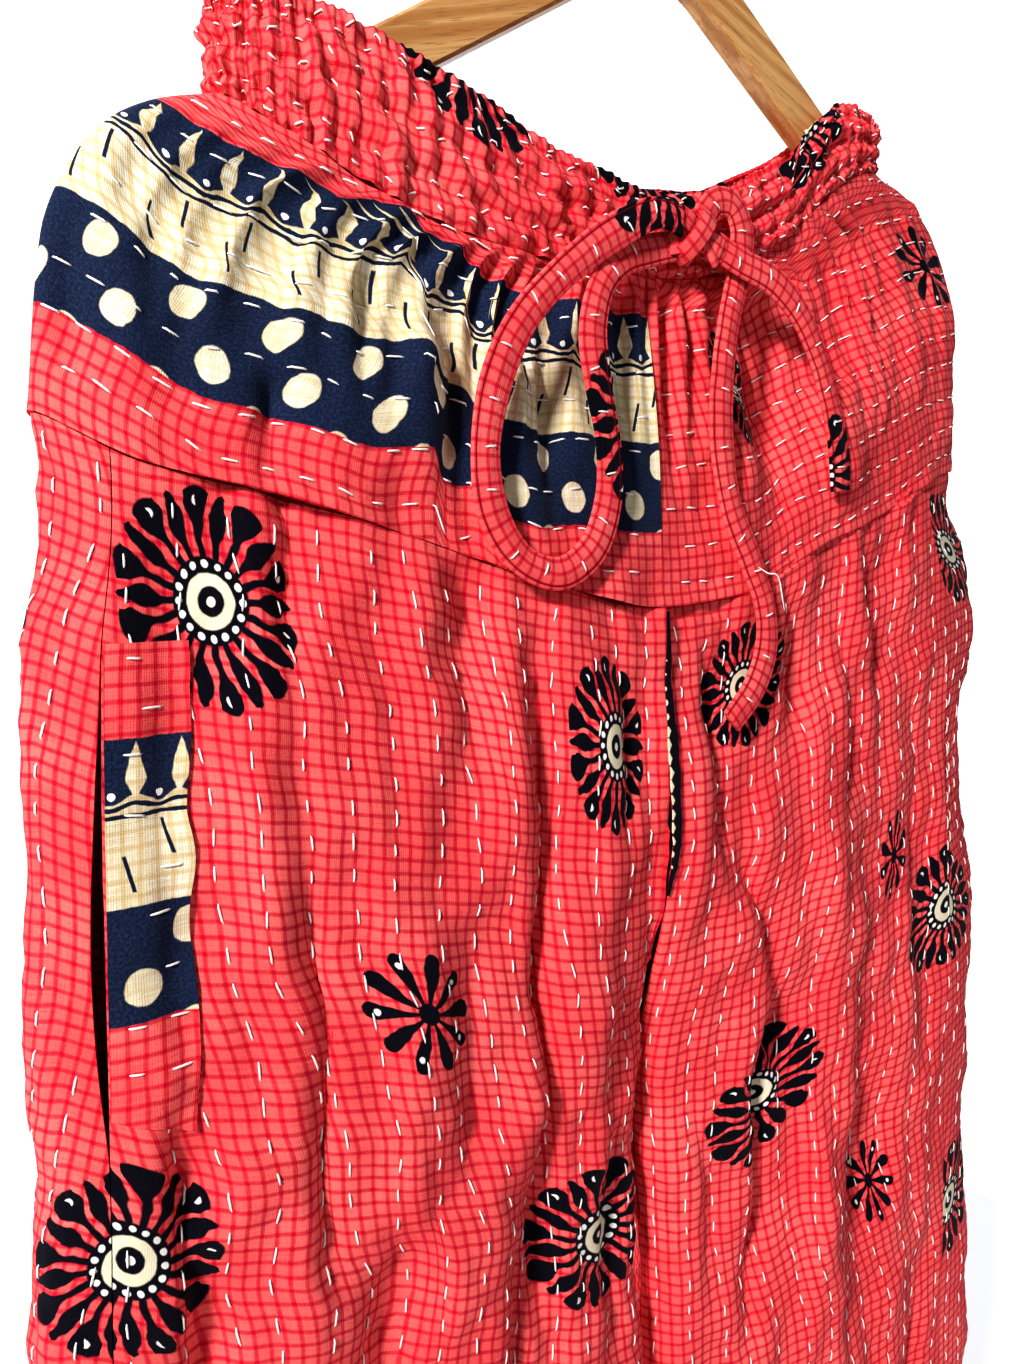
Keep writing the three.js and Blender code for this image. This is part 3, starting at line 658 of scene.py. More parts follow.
def flat_tube(name, route, width=CORD_WIDTH, thickness=CORD_THICKNESS, centre=None):
    """Closed flat tube along a route, with its centre line. It faces forward, or away from a centre."""
    line, length = smooth_line(route, CORD_STEP)
    tangent = unit(np.gradient(line, axis=0))
    toward = FRONT + 0 * line if centre is None else line - centre
    out = unit(toward - tangent * (tangent * toward).sum(1)[:, None])
    across = np.cross(tangent, out)
    angle = np.arange(SECTION_POINTS) / SECTION_POINTS * TURN
    wide = np.sign(np.cos(angle)) * np.abs(np.cos(angle)) ** 0.75 * width / 2
    thick = np.sign(np.sin(angle)) * np.abs(np.sin(angle)) ** 0.7 * thickness / 2
    along = np.linspace(0, length, len(line))
    seam = 1 - 0.45 * bump(np.abs(wide) - (width / 2 - 2.4), 0.9)
    ripple = 1 + 0.16 * np.sin(along[:, None] / 5.3 + 3 * np.sin(along[:, None] / 17)) * np.sin(angle * 2)
    slim = 1 - 0.06 * (1 + np.sin(along / 11 + np.sin(along / 29)))
    rings = (line[:, None] + across[:, None] * (wide * slim[:, None])[..., None]
             + out[:, None] * (thick * seam * ripple)[..., None])
    count = len(line)
    first = np.arange(count * SECTION_POINTS).reshape(count, SECTION_POINTS)
    turn = np.roll(first, -1, axis=1)
    sides = np.stack((first[:-1], turn[:-1], turn[1:], first[1:]), -1).reshape(-1, 4)
    middle = count * SECTION_POINTS
    caps = [(middle, b, a) for a, b in zip(first[0], turn[0])]
    caps += [(middle + 1, a, b) for a, b in zip(first[-1], turn[-1])]
    points = np.concatenate((rings.reshape(-1, 3), line[[0, -1]]))
    flat = np.stack(np.broadcast_arrays(wide, along[:, None]), -1).reshape(-1, 2)
    uv = np.concatenate((flat, [(0, 0), (0, length)]))
    item = make_object(name, points, sides.tolist() + [[int(i) for i in cap] for cap in caps], cord_material)
    add_map(item.data, "cloth", uv)
    printed = np.full_like(uv, FAR_AWAY)
    for centre_at in CORD_PRINTS.get(name, ()):
        near = np.abs(uv[:, 1] - centre_at[1]) < 1.2 * MEDALLION_RADIUS
        printed[near] = uv[near] - centre_at
    add_map(item.data, "medallion", printed)
    cord_lines[name] = line, across, out, along
    return item, placed(line), length * MM


# %% [markdown]
# The knot is a half bow. The tube's two ends are squeezed into folds behind one short diagonal turn,
# which is the part that shows. It is made first.

# %% Knot of the drawstring
KNOT_CENTRE = (18.5, -31.5, -21)
WRAP_ROUTE = [
    [10.5, -29, -31], [11, -34, -31], [14, -38.5, -27], [18.5, -40, -21], [23, -39, -14.5],
    [26.5, -34, -10.5], [27, -29, -10.5],
]
WRAP_WIDTH, WRAP_THICKNESS, STRAND_THICKNESS = 10.5, 2.6, 3.6
STRANDS = [
    (10, [[5, -34.5, -14], [10, -36.5, -15.5], [18, -35.5, -19], [25, -34, -16.5], [29, -32, -12]]),
    (11, [[4, -31.5, -27], [10, -34, -26], [18, -35.5, -23], [26, -37, -24], [32, -37.5, -27]]),
    (7, [[14, -30, -33], [16, -34, -29], [20, -36, -22], [24, -37, -26], [30, -37, -33]]),
]

knot = flat_tube("knot_turn", WRAP_ROUTE, WRAP_WIDTH, WRAP_THICKNESS, KNOT_CENTRE)[0]
bpy.ops.object.select_all(action="DESELECT")
for width, route in STRANDS:
    flat_tube("knot_strand", route, width, STRAND_THICKNESS)[0].select_set(True)
knot.select_set(True)
bpy.context.view_layer.objects.active = knot
bpy.ops.object.join()
knot.name = "drawstring_knot_cloth"
stand_in(knot, "drawstring_knot")

# %% [markdown]
# The loop and the two tails each follow their own route out of the knot, and each prints its real
# length. On the real pants they swing freely.

# %% Loop and tails
cords = {}
for node, route in (("drawstring_loop", LOOP_ROUTE), ("drawstring_long_tail", LONG_TAIL_ROUTE),
                    ("drawstring_short_tail", SHORT_TAIL_ROUTE)):
    item, path, length = flat_tube(node + "_cloth", route)
    stand_in(item, node)
    cords[node] = item
    far_end = "object" if node == "drawstring_loop" else "bare"
    with_pieces = [knot] if node == "drawstring_loop" else []
    print(item.name, "is", round(length, 3), "m long")

# %% [markdown]
# ## The garment's form
#
# The cloth hangs flat: two faces, front and back, each from the centre seam to a fold at the side.
# A place on a face is a share of the half width, 0 at the centre and 1 at the side, and a height.
# Short tables give the outline, and the largest folds are listed, one row each.

# %% Tables of the outline
SIDE_BOXINESS = 4
SEAM_REACH = 70
SEAM_CALM = 0.65
CROTCH_BLEND_TOP, CROTCH_HEIGHT, HEM_HEIGHT = -285, -435, -930
WAIST = [
    {"across": -1.00, "front_top": 36, "front_low": 4, "back_top": 36},
    {"across": -0.85, "front_top": 38, "front_low": -11, "back_top": 39},
    {"across": -0.64, "front_top": 30, "front_low": -28, "back_top": 36},
    {"across": -0.42, "front_top": 17, "front_low": -37, "back_top": 28},
    {"across": -0.20, "front_top": 5, "front_low": -39, "back_top": 22},
    {"across": 0.04, "front_top": 0, "front_low": -38, "back_top": 19},
    {"across": 0.25, "front_top": 8, "front_low": -31, "back_top": 22},
    {"across": 0.48, "front_top": 28, "front_low": -9, "back_top": 34},
    {"across": 0.64, "front_top": 57, "front_low": 14, "back_top": 49},
    {"across": 0.78, "front_top": 73, "front_low": 33, "back_top": 64},
    {"across": 1.00, "front_top": 76, "front_low": 49.2, "back_top": 76},
]
BACK_BAND_HEIGHT = 40
YOKE_SEAM = [
    {"across": -1.00, "z": -113}, {"across": -0.88, "z": -130}, {"across": -0.72, "z": -140},
    {"across": -0.44, "z": -160}, {"across": -0.25, "z": -175}, {"across": 0.00, "z": -187},
    {"across": 0.20, "z": -182}, {"across": 0.42, "z": -159}, {"across": 0.64, "z": -141},
    {"across": 0.82, "z": -122}, {"across": 1.00, "z": -111},
]
YOKE_OUTLINE = [
    {"down": 0.00, "left": 187, "right": 188, "depth": 22},
    {"down": 0.06, "left": 208, "right": 222, "depth": 24},
    {"down": 0.15, "left": 224, "right": 243, "depth": 26},
    {"down": 0.32, "left": 239, "right": 258, "depth": 28},
    {"down": 0.50, "left": 247, "right": 263, "depth": 29},
    {"down": 1.00, "left": 255, "right": 262, "depth": 30},
]
LEG_OUTLINE = [
    {"z": -111, "left": 255, "right": 262, "inner": 0, "depth": 30},
    {"z": -165, "left": 260, "right": 277, "inner": 0, "depth": 31},
    {"z": -205, "left": 264, "right": 283, "inner": 0, "depth": 32},
    {"z": -280, "left": 269, "right": 274, "inner": 0, "depth": 33},
    {"z": -385, "left": 274, "right": 280, "inner": 0, "depth": 33},
    {"z": -435, "left": 277, "right": 279, "inner": 0.6, "depth": 32},
    {"z": -520, "left": 279, "right": 273, "inner": 2, "depth": 31},
    {"z": -710, "left": 278, "right": 276, "inner": 8, "depth": 29},
    {"z": -930, "left": 272, "right": 272, "inner": 16, "depth": 27},
]
SIDE_SEAM_SHARE = {"left": 0.915, "right": 0.815}
POCKET = {"top": -189, "low": -366, "gape": 3.4, "lift": 3, "lift_reach": 0.10}

# %% [markdown]
# A fold's row says its side and face (-1 is left, and the front), the heights between which it runs,
# its distance from the centre at both ends, its width, and how far it stands out before all of them
# are deepened alike. A negative one is a trough. The yoke's folds are given the same way, as shares
# of its half width and of its height, and most run down from the waistband.

# %% Tables of the folds
FOLD_DEPTH, FOLD_WAVER, FOLD_LEAN = 1.7, 2.2, 0.4
FOLD_COLUMNS = ("side", "face", "top", "low", "x_top", "x_low", "width", "out")
FOLDS = [dict(zip(FOLD_COLUMNS, row)) for row in (
    (-1, -1, -150, -560, 67, 76, 7, -8), (-1, -1, -175, -330, 84, 92, 14, 4),
    (-1, -1, -250, -470, 175, 172, 10, -7), (-1, -1, -270, -560, 138, 128, 16, 5),
    (-1, -1, -380, -620, 82, 92, 9, -7), (-1, -1, -480, -930, 200, 212, 18, 5),
    (-1, -1, -560, -930, 120, 142, 14, -7), (-1, -1, -640, -930, 62, 74, 20, 5),
    (-1, -1, -150, -260, 108, 101, 8, -4), (-1, -1, -112, -215, 181, 172, 6, -4),
    (-1, -1, -330, -500, 228, 221, 9, -5), (-1, -1, -420, -560, 146, 152, 9, -5),
    (-1, -1, -300, -430, 104, 112, 8, -4), (-1, -1, -205, -300, 20, 27, 6, -3),
    (-1, -1, -395, -560, 26, 31, 9, -5), (-1, -1, -200, -330, 200, 193, 12, 3),
    (1, -1, -190, -340, 24, 42, 7, -6), (1, -1, -280, -460, 50, 92, 9, -7),
    (1, -1, -200, -400, 96, 112, 14, 5), (1, -1, -380, -600, 70, 58, 9, -8),
    (1, -1, -330, -560, 136, 150, 14, -5), (1, -1, -520, -930, 116, 128, 20, 6),
    (1, -1, -560, -930, 188, 206, 16, -7), (1, -1, -620, -930, 60, 70, 14, -5),
    (1, -1, -165, -260, 84, 92, 8, -5), (1, -1, -140, -250, 150, 158, 8, -4),
    (1, -1, -215, -380, 190, 200, 10, -4), (1, -1, -430, -620, 104, 96, 10, 5),
    (1, -1, -400, -560, 24, 34, 9, -5), (1, -1, -150, -330, 124, 132, 9, -4),
    (-1, 1, -180, -420, 80, 92, 12, -7), (-1, 1, -240, -600, 150, 160, 16, 5),
    (-1, 1, -480, -930, 90, 110, 14, -7), (-1, 1, -560, -930, 190, 206, 16, 5),
    (-1, 1, -160, -300, 120, 126, 9, -5), (-1, 1, -300, -520, 214, 206, 10, -5),
    (-1, 1, -360, -560, 44, 56, 9, -6), (-1, 1, -150, -330, 190, 182, 9, -4),
    (1, 1, -180, -440, 96, 104, 12, -7), (1, 1, -260, -640, 168, 180, 16, 5),
    (1, 1, -460, -930, 70, 96, 14, -7), (1, 1, -600, -930, 150, 160, 16, 5),
    (1, 1, -170, -320, 50, 58, 9, -5), (1, 1, -330, -520, 218, 210, 10, -5),
    (1, 1, -380, -580, 128, 138, 9, -6), (1, 1, -150, -300, 150, 146, 9, -4),
)]
YOKE_FOLD_COLUMNS = ("at", "top", "low", "lean", "width", "out")
YOKE_FRONT_FOLDS = {
    "left": (
        (0.05, 0, 0.6, 0.01, 0.019, -2.5), (0.12, 0, 0.85, 0.02, 0.022, -4),
        (0.185, 0, 0.6, 0.01, 0.019, -3), (0.25, 0, 1.05, -0.01, 0.024, -5.5),
        (0.31, 0, 0.55, 0, 0.019, -3.5), (0.37, 0, 1.05, 0, 0.022, -4.5),
        (0.43, 0, 1.2, -0.03, 0.02, -6.5), (0.485, 0, 0.4, 0.02, 0.019, -3.5),
        (0.55, 0, 0.5, 0.03, 0.022, -4.5), (0.625, 0, 0.42, 0.03, 0.02, -4),
        (0.7, 0, 0.46, 0.04, 0.022, -4.5), (0.77, 0, 0.36, 0.04, 0.02, -3.5),
        (0.845, 0, 0.4, 0.03, 0.022, -4), (0.71, 0.6, 1.2, 0, 0.02, -4), (0.46, 0.3, 1.1, 0, 0.045, 4),
        (0.91, 0, 0.3, 0.02, 0.019, -2.5), (0.3, 0.3, 1.2, 0, 0.03, 3),
    ),
    "right": (
        (0.04, 0, 0.9, 0.01, 0.022, -5), (0.105, 0, 0.55, 0.02, 0.019, -3.5),
        (0.17, 0, 0.95, 0, 0.022, -5), (0.235, 0, 0.6, 0.03, 0.019, -4), (0.31, 0, 1.15, 0.02, 0.034, -9),
        (0.29, 0, 0.7, 0.02, 0.02, -4.5), (0.375, 0, 0.6, 0.03, 0.019, -4),
        (0.44, 0, 0.75, 0.04, 0.02, -5), (0.51, 0, 0.6, 0.05, 0.022, -5),
        (0.58, 0, 0.5, 0.05, 0.022, -4.5), (0.655, 0, 0.66, 0.05, 0.024, -5.5),
        (0.74, 0, 0.45, 0.04, 0.022, -4.5), (0.82, 0, 0.5, 0.03, 0.024, -4.5),
        (0.9, 0, 0.32, 0.02, 0.02, -3), (0.48, 0.4, 1.2, 0, 0.04, 4.5), (0.2, 0.3, 1.1, 0, 0.03, 4),
    ),
}


def yoke_folds(side, face):
    """Rows of a yoke's folds. The back ones are the other side's front ones, moved a little."""
    rows = YOKE_FRONT_FOLDS[name_of(side * -face)]
    folds = [dict(zip(YOKE_FOLD_COLUMNS, row)) for row in rows]
    if face > 0:
        for k, fold in enumerate(folds):
            fold["at"] += 0.018 * math.sin(5 * k + side)
            fold["low"] *= 1 + 0.15 * math.sin(3 * k)
    return folds


# %% [markdown]
# These functions give any point of the yokes and legs. They take whole grids of numbers at once,
# which is what makes a fine mesh quick to work out. Below the crotch each leg closes to a tube of its
# own, so its section changes there from half of one wide flat shape to a whole narrow one. A rise is
# a soft hill, but a trough is a crease, steep on its sides, which is what throws the dark lines.

# %% Points of the yokes and legs
END_RISE = 0.35
CREASE_STEEPNESS, CREASE_ROUND = 1.25, 0.4
SIDE_CALM, CENTRE_CALM = 6, 8
SEAM_HEIGHT = curve(YOKE_SEAM, "across", "z")
WAIST_CURVES = {column: curve(WAIST, "across", column) for column in ("front_top", "front_low", "back_top")}


def name_of(side):
    """The word for a side, which is -1 or 1."""
    return "left" if side < 0 else "right"


def profile(share):
    """Distance from the middle plane: 0 at a fold of the side and 1 in the middle."""
    return np.sqrt(np.maximum(0, 1 - np.abs(share) ** SIDE_BOXINESS))


def crease(off, width):
    """A trough's section: nearly straight walls that meet in a narrow round bottom."""
    return np.exp(CREASE_ROUND - np.hypot(CREASE_STEEPNESS * off / width, CREASE_ROUND))


def fold_envelope(z, top, low):
    """Height of a fold along its length: it rises and dies away softly, or stays open at the hem."""
    length = top - low
    open_end = 1 if low == HEM_HEIGHT else smooth(z - low, 0, END_RISE * length)
    return smooth(top - z, 0, END_RISE * length) * open_end


def waist_edge(across, face, column):
    """Height of the waistband's top or low edge. The back one's low edge is worked out from its top."""
    if face < 0:
        return WAIST_CURVES["front_" + column](across)
    top = WAIST_CURVES["back_top"](across)
    side_height = WAIST_CURVES["back_top"](np.sign(across)) - WAIST_CURVES["front_low"](np.sign(across))
    return top if column == "top" else top - lerp(BACK_BAND_HEIGHT, side_height, np.abs(across) ** 6)


def yoke_fold_out(side, face, share, down):
    """How far the folds of one yoke move its points out. A fold widens as it runs down."""
    out = 0 * share * down
    for fold in yoke_folds(side, face):
        along = np.maximum(0, down - fold["top"]) / (fold["low"] - fold["top"])
        rise = smooth(down, fold["top"], fold["top"] + 0.11) * smooth(along, 1.0, 0.35)
        rise = rise * (1 - SEAM_CALM * smooth(down, 0.75, 1))
        middle = fold["at"] + fold["lean"] * down
        width = fold["width"] * (1 + 1.3 * np.minimum(along, 1))
        form = bump if fold["out"] > 0 else crease
        out = out + FOLD_DEPTH * fold["out"] * rise * form(share - middle, width)
    return out * np.minimum(1, SIDE_CALM * (1 - share))


def leg_point(side, face, share, z):
    """Points of a leg, with how far they stand out in front of or behind the middle plane."""
    name = name_of(side)
    free = smooth(SEAM_HEIGHT(side * share) - z, 0, SEAM_REACH)
    end = YOKE_OUTLINE[-1]
    half = lerp(end[name], curve(LEG_OUTLINE, "z", name)(z), free)
    inner = SEAM_GAP / 2 + curve(LEG_OUTLINE, "z", "inner")(z)
    depth = lerp(end["depth"], curve(LEG_OUTLINE, "z", "depth")(z), free)
    tube = smooth(-z, -CROTCH_BLEND_TOP, -CROTCH_HEIGHT)
    x = inner + (half - inner) * share
    y = depth * lerp(profile(share), profile(2 * share - 1), tube)
    front_folds, back_folds = (yoke_fold_out(side, way, share, 1.0) for way in (-1, 1))
    y = y + (1 - free) * np.where(np.asarray(face) < 0, front_folds, back_folds)
    calm = np.minimum(1, SIDE_CALM * (1 - share)) * lerp(1, np.minimum(1, CENTRE_CALM * share), tube)
    for fold in FOLDS:
        if fold["side"] == side:
            along = (z - fold["top"]) / (fold["low"] - fold["top"])
            middle = lerp(fold["x_top"], fold["x_low"], along) + FOLD_WAVER * np.sin(z / 19 + fold["width"])
            off = x - middle
            width = fold["width"] * (1 - FOLD_LEAN * face * side * np.tanh(off / fold["width"]))
            form = bump if fold["out"] > 0 else crease
            rise = fold_envelope(z, fold["top"], fold["low"]) * form(off, width)
            rise = FOLD_DEPTH * fold["out"] * calm * rise
            y = y + np.where(face == fold["face"], rise, 0)
    return np.stack(np.broadcast_arrays(side * x, face * y, z), -1)


def mouth(z):
    """How far a pocket's mouth is open at a height: it gapes most below its middle."""
    along = np.clip((z - POCKET["top"]) / (POCKET["low"] - POCKET["top"]), 0, 1)
    return np.sin(math.pi * along**1.5)


# %% [markdown]
# ## Puckers
#
# Rows of running stitch draw two thin layers together, so the cloth lies in a shallow valley along
# each row and swells softly between them, never quite evenly. A few sine waves in mixed directions,
# from a seeded draw, give the unevenness, and the same rows place the white stitches later. Longer
# waves of the same kind, drawn out downwards, give the loose drape between the large folds.

# %% Puckers and unevenness
ROW_SPACING = 18
STITCH_PITCH = 14
VALLEY_DEPTH, VALLEY_WIDTH = 0.9, 3.0
PUCKER_HILLS = ((0.55, 13), (1.0, 34))
DRAPE_HILLS = ((4.4, 74), (1.9, 30))
DRAPE_STRETCH = 0.38
rng = np.random.default_rng(7)


def unevenness(u, v, length, waves=7):
    """Smooth random hills of about a length, from -1 to 1, over flat cloth."""
    total = 0 * u
    for _ in range(waves):
        way, phase = rng.uniform(0, TURN, 2)
        size = length * rng.uniform(0.7, 1.5)
        total = total + np.sin(TURN * (u * math.cos(way) + v * math.sin(way)) / size + phase)
    return total / waves**0.5 / 1.4


def hills(u, v, sizes):
    """Sum of uneven hills. Each size is a height and a length."""
    return sum(height * unevenness(u, v, length) for height, length in sizes)


def row_wobble(row, along):
    """How far a row of stitches strays from its straight line."""
    return 1.6 * np.sin(along / 37 + 2.1 * row) + 0.9 * np.sin(along / 13 + 1.3 * row)


def pucker(across, along):
    """Height of the stitched cloth: valleys on the rows and soft swells between them."""
    row = np.round(across / ROW_SPACING - 0.5)
    off = across - (row + 0.5) * ROW_SPACING - row_wobble(row, along)
    pulled = 0.65 + 0.35 * np.cos(TURN * along / STITCH_PITCH + 2.4 * row)
    return hills(across, along, PUCKER_HILLS) - VALLEY_DEPTH * pulled * bump(off, VALLEY_WIDTH)


# %% [markdown]
# ## Where the flowers are
#
# The large flowers repeat every 175 mm across and 222 mm down, shifted a little from one cut piece to
# the next, with a small one in the middle of each four. The ones that show from the front are placed
# as they lie on the garment, and the rest continue the same repeat. A row gives the panel, which face
# of it, x and height of the centre, and how far the flower is turned. Two more numbers say how wide
# and how high it is where the cloth is drawn together or pulled out, as shares of its size. One that
# crosses a seam has a row for each panel, so a centre may lie past a panel's edge.

# %% Flowers
MEDALLIONS = [
    ("leg_front_left", -1, -204, -178, 4, 0.9, 1.1), ("leg_front_left", -1, -246, -402, 20),
    ("leg_back_left", -1, -246, -402, 20), ("leg_front_left", -1, -34, -247, 0, 0.66, 1.1),
    ("leg_front_left", -1, -41, -477, 9, 1.3, 0.95), ("leg_front_left", -1, -228, -628, 31),
    ("leg_front_left", -1, -60, -702, 3), ("leg_front_left", -1, -225, -852, 12),
    ("leg_front_left", -1, -70, -905, 25), ("leg_front_right", -1, 52, -227, 6, 0.7, 0.85),
    ("leg_front_right", -1, 67, -446, 14, 1.2, 0.82), ("leg_front_right", -1, 223, -372, 2),
    ("leg_front_right", -1, 70, -668, 21), ("leg_front_right", -1, 80, -885, 8),
    ("leg_front_right", -1, 196, -783, 17), ("leg_back_right", -1, 237, -161, 10),
    ("leg_back_right", -1, 223, -372, 2), ("leg_back_right", -1, 231, -562, 5),
    ("leg_back_right", -1, 196, -783, 17), ("leg_back_left", -1, -228, -628, 31),
    ("yoke_front_right", -1, 57, -84, 7, 0.35, 0.85), ("waistband_front", -1, -90, 36, 3),
    ("waistband_front", -1, 112, 62, 8), ("waistband_front", -1, 2, 16, 12),
    ("waistband_back", 1, 60, 12, 3), ("waistband_back", 1, -110, 10, 9),
    ("yoke_back_left", 1, -60, -70, 5), ("yoke_back_right", 1, 150, -60, 9),
    ("yoke_back_left", 1, -230, -60, 5),
] + [
    (f"leg_back_{name_of(side)}", 1, side * (64 + 158 * across) + 9 * down + 14 * side,
     -222 - 222 * down - 40 * across - 58 * side, 7 * down + across + 5 * side)
    for side in (-1, 1) for across in (0, 1) for down in range(4)
]
DAISIES = [
    ("leg_front_left", -1, -133, -341, 0), ("leg_front_left", -1, -140, -560, 9),
    ("leg_front_left", -1, -142, -780, 4), ("leg_front_right", -1, 156, -523, 20, 0.6, 1),
    ("leg_front_right", -1, 171, -333, 15, 0.45, 1), ("leg_front_right", -1, 140, -740, 2),
    ("yoke_front_right", -1, 224, 2, 8), ("yoke_back_left", 1, -150, -20, 8),
    ("yoke_back_right", 1, 50, -120, 8),
] + [
    (f"leg_back_{name_of(side)}", 1, side * 140 + 9 * down, -345 - 222 * down - 58 * side,
     11 * down + 8 * side)
    for side in (-1, 1) for down in range(3)
]


# %% [markdown]
# Each face of a panel's mesh gets its place from the nearest flower's centre. The cloth map runs the
# other way on some panels, so the flowers there are turned round to read the same from outside.

# %% Flower maps
def cloth_way(name, face):
    """1 where the cloth map's width grows with x and -1 where it falls."""
    if name.startswith("waistband"):
        return -face
    side = -1 if name.endswith("left") else 1
    return side if face == (-1 if "front" in name else 1) else -side


def add_flowers(item, name, grid, cloth):
    """Adds both flower maps to a panel's object: each face has its distance from the nearest centre."""
    flat = np.zeros(len(item.data.loops) * 2, np.float32)
    item.data.uv_layers["cloth"].data.foreach_get("uv", flat)
    corners = flat.reshape(-1, 4, 2).astype(float)
    for kind, rows in (("medallion", MEDALLIONS), ("daisy", DAISIES)):
        centres, turns, ways, sizes = [], [], [], []
        for panel_name, face, x, z, turn, *stretch in rows:
            if panel_name == name:
                away = np.hypot(grid[..., 0] - x, grid[..., 2] - z)
                away += FAR_AWAY * (face * grid[..., 1] < 0)
                nearest = np.unravel_index(away.argmin(), away.shape)
                way = cloth_way(name, face)
                centres.append(cloth[nearest] + (way * (x - grid[nearest][0]), grid[nearest][2] - z))
                turns.append(math.radians(turn))
                ways.append(way)
                sizes.append(stretch or (1, 1))
        local = np.full_like(corners, FAR_AWAY)
        if centres:
            middle = corners.mean(1)
            nearest = np.linalg.norm(middle[:, None] - np.array(centres)[None], axis=2).argmin(1)
            off = corners - np.array(centres)[nearest][:, None]
            off[..., 0] *= np.array(ways)[nearest][:, None]
            off /= np.array(sizes)[nearest][:, None]
            turned = np.array(turns)[nearest][:, None]
            local = np.stack((off[..., 0] * np.cos(turned) - off[..., 1] * np.sin(turned),
                              off[..., 0] * np.sin(turned) + off[..., 1] * np.cos(turned)), -1)
        item.data.uv_layers.new(name=kind).data.foreach_set("uv", local.astype(np.float32).ravel())


def make_panel(name, grid, cloth, wall, material):
    """A panel's object, from the points of its wall, with its flowers."""
    panel = wall_object(name + "_cloth", *wall, WALL, material)
    add_flowers(panel, name, grid, cloth)
    stand_in(panel, name)


# %% [markdown]
# ## Legs
#
# Each leg is two panels. The front one ends at the side seam, where its edge stands open along the
# pocket's mouth. The back one goes round the side and meets it there. A panel is a grid of the form's
# points, moved out by its puckers and its drape, and then a closed wall. Under the drawstring the
# front stays back, as the cord presses on it, and each top edge turns in behind the seam.

# %% Leg panels
LEG_ROWS = np.array([-187, -217, -250, -285, -320, -354, -386, -412, -430, -448, -480, -530, -600, -680,
                     -765, -850, HEM_HEIGHT], float)
LEG_STEPS_DOWN, LEG_STEPS_ACROSS, WRAP_STEPS = 204, 104, 24
SEAM_SAG, SEAM_HALF_WIDTH = 0.85, 262
PUCKER_START = 14
BESIDE_POCKET = LEG_OUTLINE[3]
LEG_CENTRE, YOKE_CENTRE = 80, 300
LEG_TUCK, LEG_ALLOWANCE = 1.9, 3.5
CORD_BACK, CORD_REACH = 2.1, 8.5


def shares(start, end, steps):
    """Shares of the half width, close together at both ends so that the folds are round."""
    return start + (end - start) * (1 - np.cos(math.pi * np.arange(steps + 1) / steps)) / 2


def leg_heights(side, share):
    """Heights of a leg's rows, which start on the yoke seam and grow level below it."""
    level = np.linspace(LEG_ROWS[0], LEG_ROWS[-1], LEG_STEPS_DOWN + 1)[:, None]
    place = np.interp(-level, -LEG_ROWS, np.arange(len(LEG_ROWS)) / (len(LEG_ROWS) - 1))
    return lerp(SEAM_HEIGHT(side * share)[None] - SEAM_GAP, level, smooth(place, 0, 0.35))


# %% [markdown]
# A panel also has to stay clear of its neighbours, as real pieces do that are sewn edge to edge: its
# edges are drawn in by half a gap, and near the centre seams it keeps to its own side.

# %% Edges and clearances of the panels
def draw_in(grid):
    """Each edge is drawn back by half a seam's gap."""
    columns = (grid[:, 0], grid[:, 1]), (grid[:, -1], grid[:, -2])
    for edge, inside in (*columns, (grid[0], grid[1]), (grid[-1], grid[-2])):
        way = inside - edge
        edge += way * (SEAM_GAP / 2 / np.maximum(np.linalg.norm(way, axis=1), SEAM_GAP))[:, None]


def keep_to_its_side(grid, side, face, reach):
    """Near the middle of the garment a panel keeps to its own side of the seams there."""
    grid[..., 0] = side * np.maximum(side * grid[..., 0], SEAM_GAP / 2)
    near = np.abs(grid[..., 0]) < reach
    grid[..., 1] = np.where(near, face * np.maximum(face * grid[..., 1], SEAM_GAP / 2), grid[..., 1])


def leg_cloth_down(grid, side):
    """Flat cloth's distance down a leg. Its weft hangs as the yoke seam does."""
    sag = SEAM_HEIGHT(side * np.minimum(1, np.abs(grid[..., 0]) / SEAM_HALF_WIDTH)) - SEAM_HEIGHT(0.0)
    return sag * SEAM_SAG - grid[..., 2] + SEAM_HEIGHT(0.0)


def finish_panel(grid, side, face, v, amount, rows_down=True):
    """Adds drape and puckers to a panel whose columns run from the centre out, and returns its grids."""
    u = arc_length(grid, 1)
    cloth = np.stack((u, v), -1)
    across, along = (u, v) if rows_down else (v, u)
    if side * face > 0:
        grid, cloth, across, along = grid[:, ::-1], cloth[:, ::-1], across[:, ::-1], along[:, ::-1]
    grid = np.ascontiguousarray(grid)
    drape = hills(grid[..., 0], -grid[..., 2] * DRAPE_STRETCH, DRAPE_HILLS)
    grid = grid + outward(grid) * (amount * (pucker(across, along) + drape))[..., None]
    return grid, cloth


def under_cords(grid):
    """Keeps a front panel behind the drawstring that lies on it."""
    lines = np.concatenate([cord_lines[node + "_cloth"][0] for node in cords])
    limit = np.full(grid.shape[:2], -FAR_AWAY)
    for x, y, z in lines[::2]:
        away = np.hypot(grid[..., 0] - x, grid[..., 2] - z)
        limit = np.maximum(limit, y + CORD_BACK - 0.7 * np.maximum(0, away - CORD_REACH))
    grid[..., 1] = np.maximum(grid[..., 1], limit)


def tucked(grid, cloth, into, rise):
    """A panel with a seam allowance at its top, turned in behind what it is sewn to."""
    edge, away = grid[0], grid[0] - grid[1]
    away = unit(away)
    turned = edge - outward(grid)[0] * np.broadcast_to(into, edge.shape[:1])[:, None]
    rows = np.stack((turned + away * rise, turned + away * 0.3))
    flat = cloth[:1] - np.array([[[0, rise + 1]], [[0, 1]]])
    return np.concatenate((rows, grid)), np.concatenate((flat, cloth))


